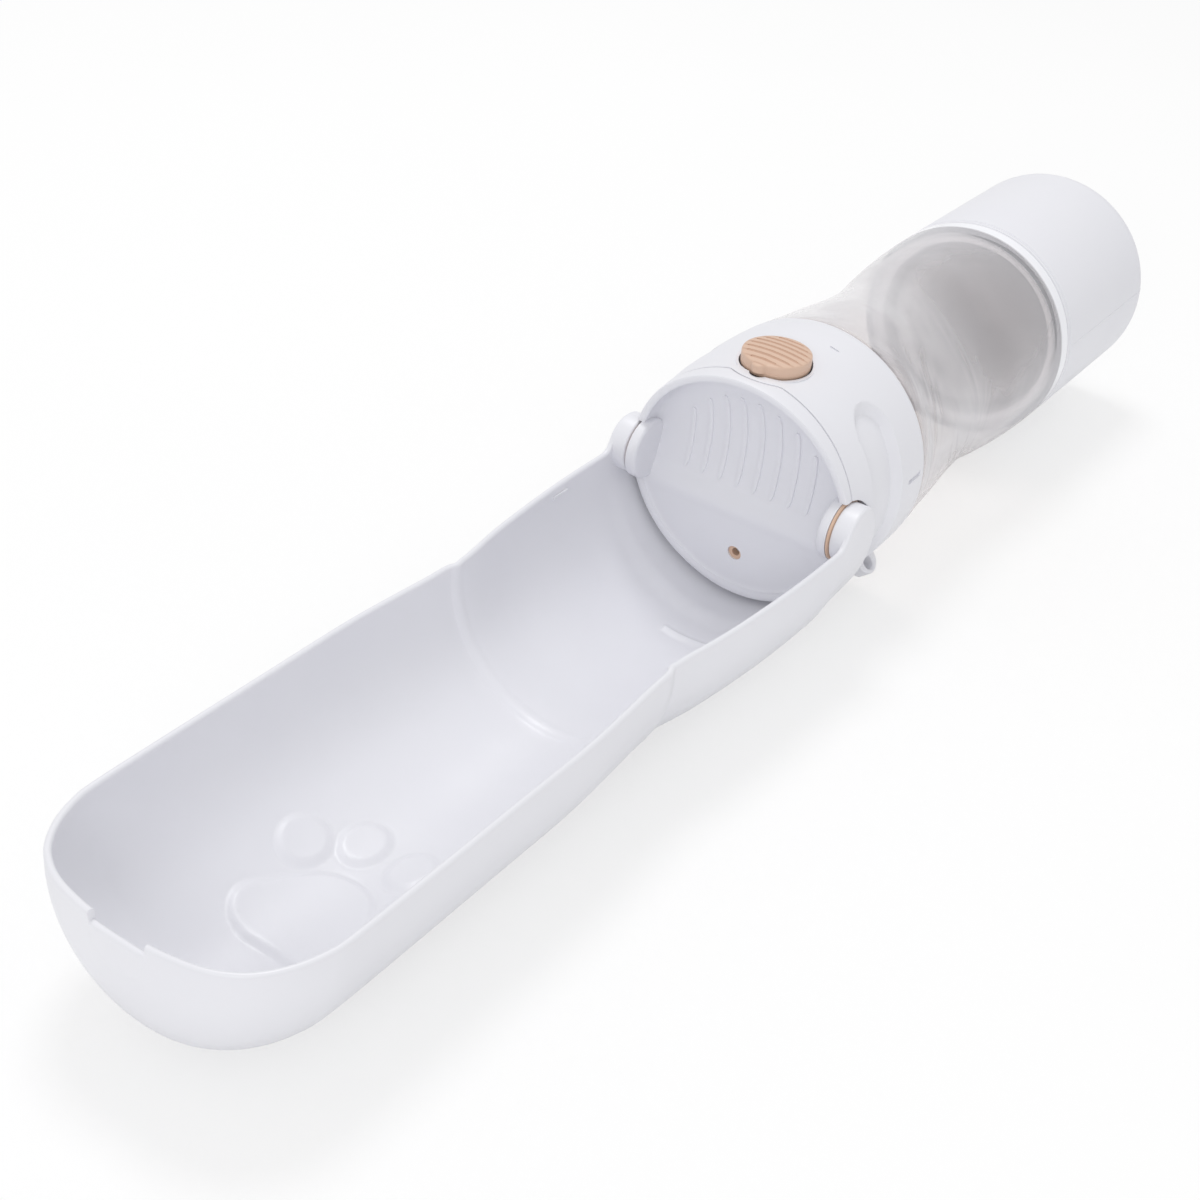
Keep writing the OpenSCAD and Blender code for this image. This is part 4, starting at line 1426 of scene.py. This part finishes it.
@dataclass
class Bottle:
    """The clear waisted bottle."""

    neck_r: float = 32.2
    neck_in: float = 30.2
    mouth_x: float = 27.6
    shoulder_x: float = 41.7
    cup_line: float = 143.0
    radius: float = 35.4
    wall: float = 1.7
    spigot_r: float = 31.5
    spigot_end: float = 155.0
    dome_r: float = 27.6
    dome_x: float = 127.0

    def profile(self) -> list[list[float]]:
        """Closed section of x and radius, outer wall first."""
        s, r = self.shoulder_x, HEAD_R
        outer = smooth_curve(
            [
                [s + 0.9, r - 1.1], [s + 4, r - 1.2], [s + 9, r - 1.9], [62, r - 3],
                [76, r - 4.7], [89, r - 5.5], [99, r - 5], [109, r - 3.6], [120, r - 2.6],
                [130, self.radius - 0.1], [self.cup_line - 0.6, self.radius],
            ],
            8,
        ).tolist()
        inner = [[x, q - self.wall] for x, q in outer if s + 3 < x < self.cup_line - 5][::-1]

        def dome(apex: float, radius: float, start: float, end: float) -> list[list[float]]:
            """Arc of the domed base from one angle to another, with 0 at its apex."""
            return [
                [apex + radius * (1 - math.cos(a)), radius * math.sin(a)]
                for a in np.radians(np.linspace(start, end, 30))
            ]

        dome_out = dome(self.dome_x, self.dome_r, 88, 0.2)
        dome_in = dome(self.dome_x - self.wall, self.dome_r + self.wall, 0.2, 84)
        start = [[self.mouth_x, self.neck_in], [self.mouth_x, self.neck_r]]
        start += [[s, self.neck_r], [s, r - 2.6]]
        start += arc_points((s + 0.9, r - 2.0), 0.9, 180, 90, 4)
        line, end, spigot_in = self.cup_line, self.spigot_end, self.spigot_r - self.wall
        foot = [[line - 0.2, self.radius - 0.1], [line, self.radius - 0.5]]
        foot += [[line, self.spigot_r], [end, self.spigot_r], [end, self.dome_r - 0.6]]
        root = [[end - 6, spigot_in], [line - 3, spigot_in]]
        outside = start + outer[1:] + foot
        return outside + dome_out + dome_in + root + inner + [[s + 2, self.neck_in]]

    def build(self, finishes: Finishes) -> None:
        """Makes the bottle."""
        skin = Skin()
        skin.turned(self.profile())
        piece = skin.to_object("bottle_body")
        soften(piece.data, 40)
        finish_piece(piece, Body.BOTTLE, finishes.clear, ["bottle"])


@dataclass
class FoodCup:
    """The white food cup on the bottle's base."""

    line: float = 143.25
    rim_r: float = 35.4
    end_r: float = 35.1
    end_x: float = 212.5
    round_r: float = 11.0
    wall: float = 1.8
    bore: float = 33.1
    ledge_x: float = 156.9

    def profile(self) -> list[list[float]]:
        """Closed section of x and radius."""
        x, r = self.line, self.rim_r
        centre = (self.end_x - self.round_r, self.end_r - self.round_r)
        points = [[x, self.bore], [x, r - 0.4], [x + 0.12, r - 0.12], [x + 0.4, r], [x + 1.3, r]]
        points += [[x + 1.6, r - 0.08], [x + 1.8, r - 0.35], [x + 2.1, r - 0.35]]
        points += [[x + 2.3, r - 0.08], [x + 2.6, r], [x + 30, r - 0.12]]
        points += arc_points(centre, self.round_r, 90, 0, 24)
        end = self.end_x
        points += [[end, 14.0], [end, 12.2], [end - 0.15, 11.8], [end - 0.8, 11.0]]
        points += [[end - 0.8, 0.02], [end - 2.6, 0.02]]
        points += arc_points(centre, self.round_r - self.wall, 0, 90, 16)
        points += [[self.ledge_x + 5, self.end_r - self.wall], [self.ledge_x + 1.6, 29.4]]
        points += [[self.ledge_x, 29.4], [self.ledge_x, self.bore]]
        return points

    def parting_line(self) -> Skin:
        """The thin raised line along both sides where the mould's halves met."""
        skin = Skin()
        path = [[self.line + 3.2, self.rim_r], [self.line + 30, self.rim_r - 0.12]]
        centre = (self.end_x - self.round_r, self.end_r - self.round_r)
        path += arc_points(centre, self.round_r, 90, 4, 16)
        for side in (-1.0, 1.0):
            rings = []
            for x, r in path:
                ring = []
                for off, lift in ((-0.22, -0.15), (-0.1, 0.1), (0.1, 0.1), (0.22, -0.15)):
                    turn = math.radians(7.0) + off / self.rim_r
                    y = side * (r + lift) * math.cos(turn)
                    ring.append([x, y, AXIS_Z + (r + lift) * math.sin(turn)])
                rings.append(ring)
            skin.loft(np.array(rings), caps=(True, True))
        return skin

    def build(self, finishes: Finishes) -> None:
        """Makes the cup."""
        skin = Skin()
        skin.turned(self.profile())
        skin.merge(self.parting_line())
        piece = skin.to_object("food_cup_shell")
        soften(piece.data, 35)
        finish_piece(piece, Body.FOOD_CUP, finishes.cup, ["base_cup"])


# ---------------------------------------------------------------------------
# studio
# ---------------------------------------------------------------------------


@dataclass
class Studio:
    """Floor, lamps and the camera at the photograph's angle."""

    lens: float = 60.115
    camera_at: tuple[float, float, float] = (-430.76, -230.49, 283.56)
    right: tuple[float, float, float] = (0.57856, -0.8116, 0.08113)
    up: tuple[float, float, float] = (0.41566, 0.37896, 0.82681)
    back: tuple[float, float, float] = (-0.70178, -0.44463, 0.5566)
    world_strength: float = 0.72
    floor_lift: float = 0.6

    def camera(self) -> None:
        """Sets the camera where the photographer stood."""
        data = bpy.data.cameras.new("camera")
        data.lens = self.lens
        data.sensor_width = 36.0
        data.clip_end = 20.0
        eye = bpy.data.objects.new("camera", data)
        turn = Matrix((self.right, self.up, self.back)).transposed().to_4x4()
        eye.matrix_world = Matrix.Translation((np.array(self.camera_at) + HINGE_AT) * MM) @ turn
        bpy.context.scene.collection.objects.link(eye)
        bpy.context.scene.camera = eye

    def floor(self) -> None:
        """A wide pale floor that keeps the object's shadow."""
        mesh = bpy.data.meshes.new("floor")
        size = 6.0
        around = [(-size, -size, 0), (size, -size, 0), (size, size, 0), (-size, size, 0)]
        mesh.from_pydata(around, [], [(0, 1, 2, 3)])
        floor = new_object("floor", mesh)
        g = Graph("floor_pale")
        mottled = g.ramp(g.noise(3.0), [(0.3, (0.93, 0.93, 0.93)), (0.7, (0.95, 0.95, 0.95))])
        matt = g.node("ShaderNodeBsdfDiffuse", inputs={"Color": mottled}, output="BSDF")
        white = {"Color": (1.0, 1.0, 1.0, 1.0), "Strength": 1.0}
        glow = g.node("ShaderNodeEmission", inputs=white, output="Emission")
        direct = g.node("ShaderNodeLightPath", output="Is Camera Ray")
        seen = direct + g.node("ShaderNodeLightPath", output="Is Transmission Ray")
        lift = g.node("ShaderNodeMath", {"operation": "MINIMUM"}, {0: seen, 1: 1.0})
        surface = g.mixed(lift * self.floor_lift, matt, glow)
        dress(floor, g.close(surface))

    def lamp(
        self, name: str, at: Sequence[float], aim: Sequence[float], size: float, power: float
    ) -> None:
        """Adds one soft lamp.

        Args:
            name: its name.
            at: its place in metres.
            aim: the point that it faces.
            size: its width in metres.
            power: its power in watts.
        """
        data = bpy.data.lights.new(name, "AREA")
        data.shape = "DISK"
        data.size = size
        data.energy = power
        lamp = bpy.data.objects.new(name, data)
        lamp.location = at
        lamp.rotation_euler = (Vector(aim) - Vector(at)).to_track_quat("-Z", "Y").to_euler()
        bpy.context.scene.collection.objects.link(lamp)

    def build(self) -> None:
        """Makes the studio."""
        scene = bpy.context.scene
        scene.view_settings.view_transform = "Standard"
        world = bpy.data.worlds.new("studio")
        world.use_nodes = True
        back = world.node_tree.nodes["Background"]
        back.inputs["Color"].default_value = (1.0, 1.0, 1.0, 1.0)
        back.inputs["Strength"].default_value = self.world_strength
        scene.world = world
        self.floor()
        self.lamp("key", (0.25, 0.35, 1.4), (-0.05, 0.0, 0.04), 0.5, 6.0)
        self.lamp("fill", (-1.2, -0.5, 0.7), (0.0, 0.0, 0.04), 0.6, 3.4)
        self.camera()


def main() -> None:
    """Builds the object's pieces in order and the studio round them."""
    logging.basicConfig(level=logging.INFO, format="%(name)s: %(message)s")
    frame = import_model()
    finishes = Finishes()
    inside = (
        (finishes.inner, ("valve_housing", "housing_plug")),
        (finishes.stem, ("valve_stem", "valve_spool")),
        (finishes.steel, ("housing_screws", "stem_clip", "return_spring")),
        (finishes.silicone, ("housing_gasket", "outlet_seal", "vent_valve", "stem_guide")),
        (finishes.silicone, ("neck_gasket", "cup_gasket", "spool_seals")),
    )
    for material, names in inside:
        for name in names:
            dress(frame["nodes"][name], material)
    squeezed_spring(frame["nodes"]["return_spring"], finishes)
    rings = (HingeRing(Side.NEAR), HingeRing(Side.FAR, outer=FAR_RING_R))
    for part in (Trough(), Head(), Button(), *rings, Bottle(), FoodCup()):
        part.build(finishes)
    Studio().build()


if __name__ == "__main__":
    main()
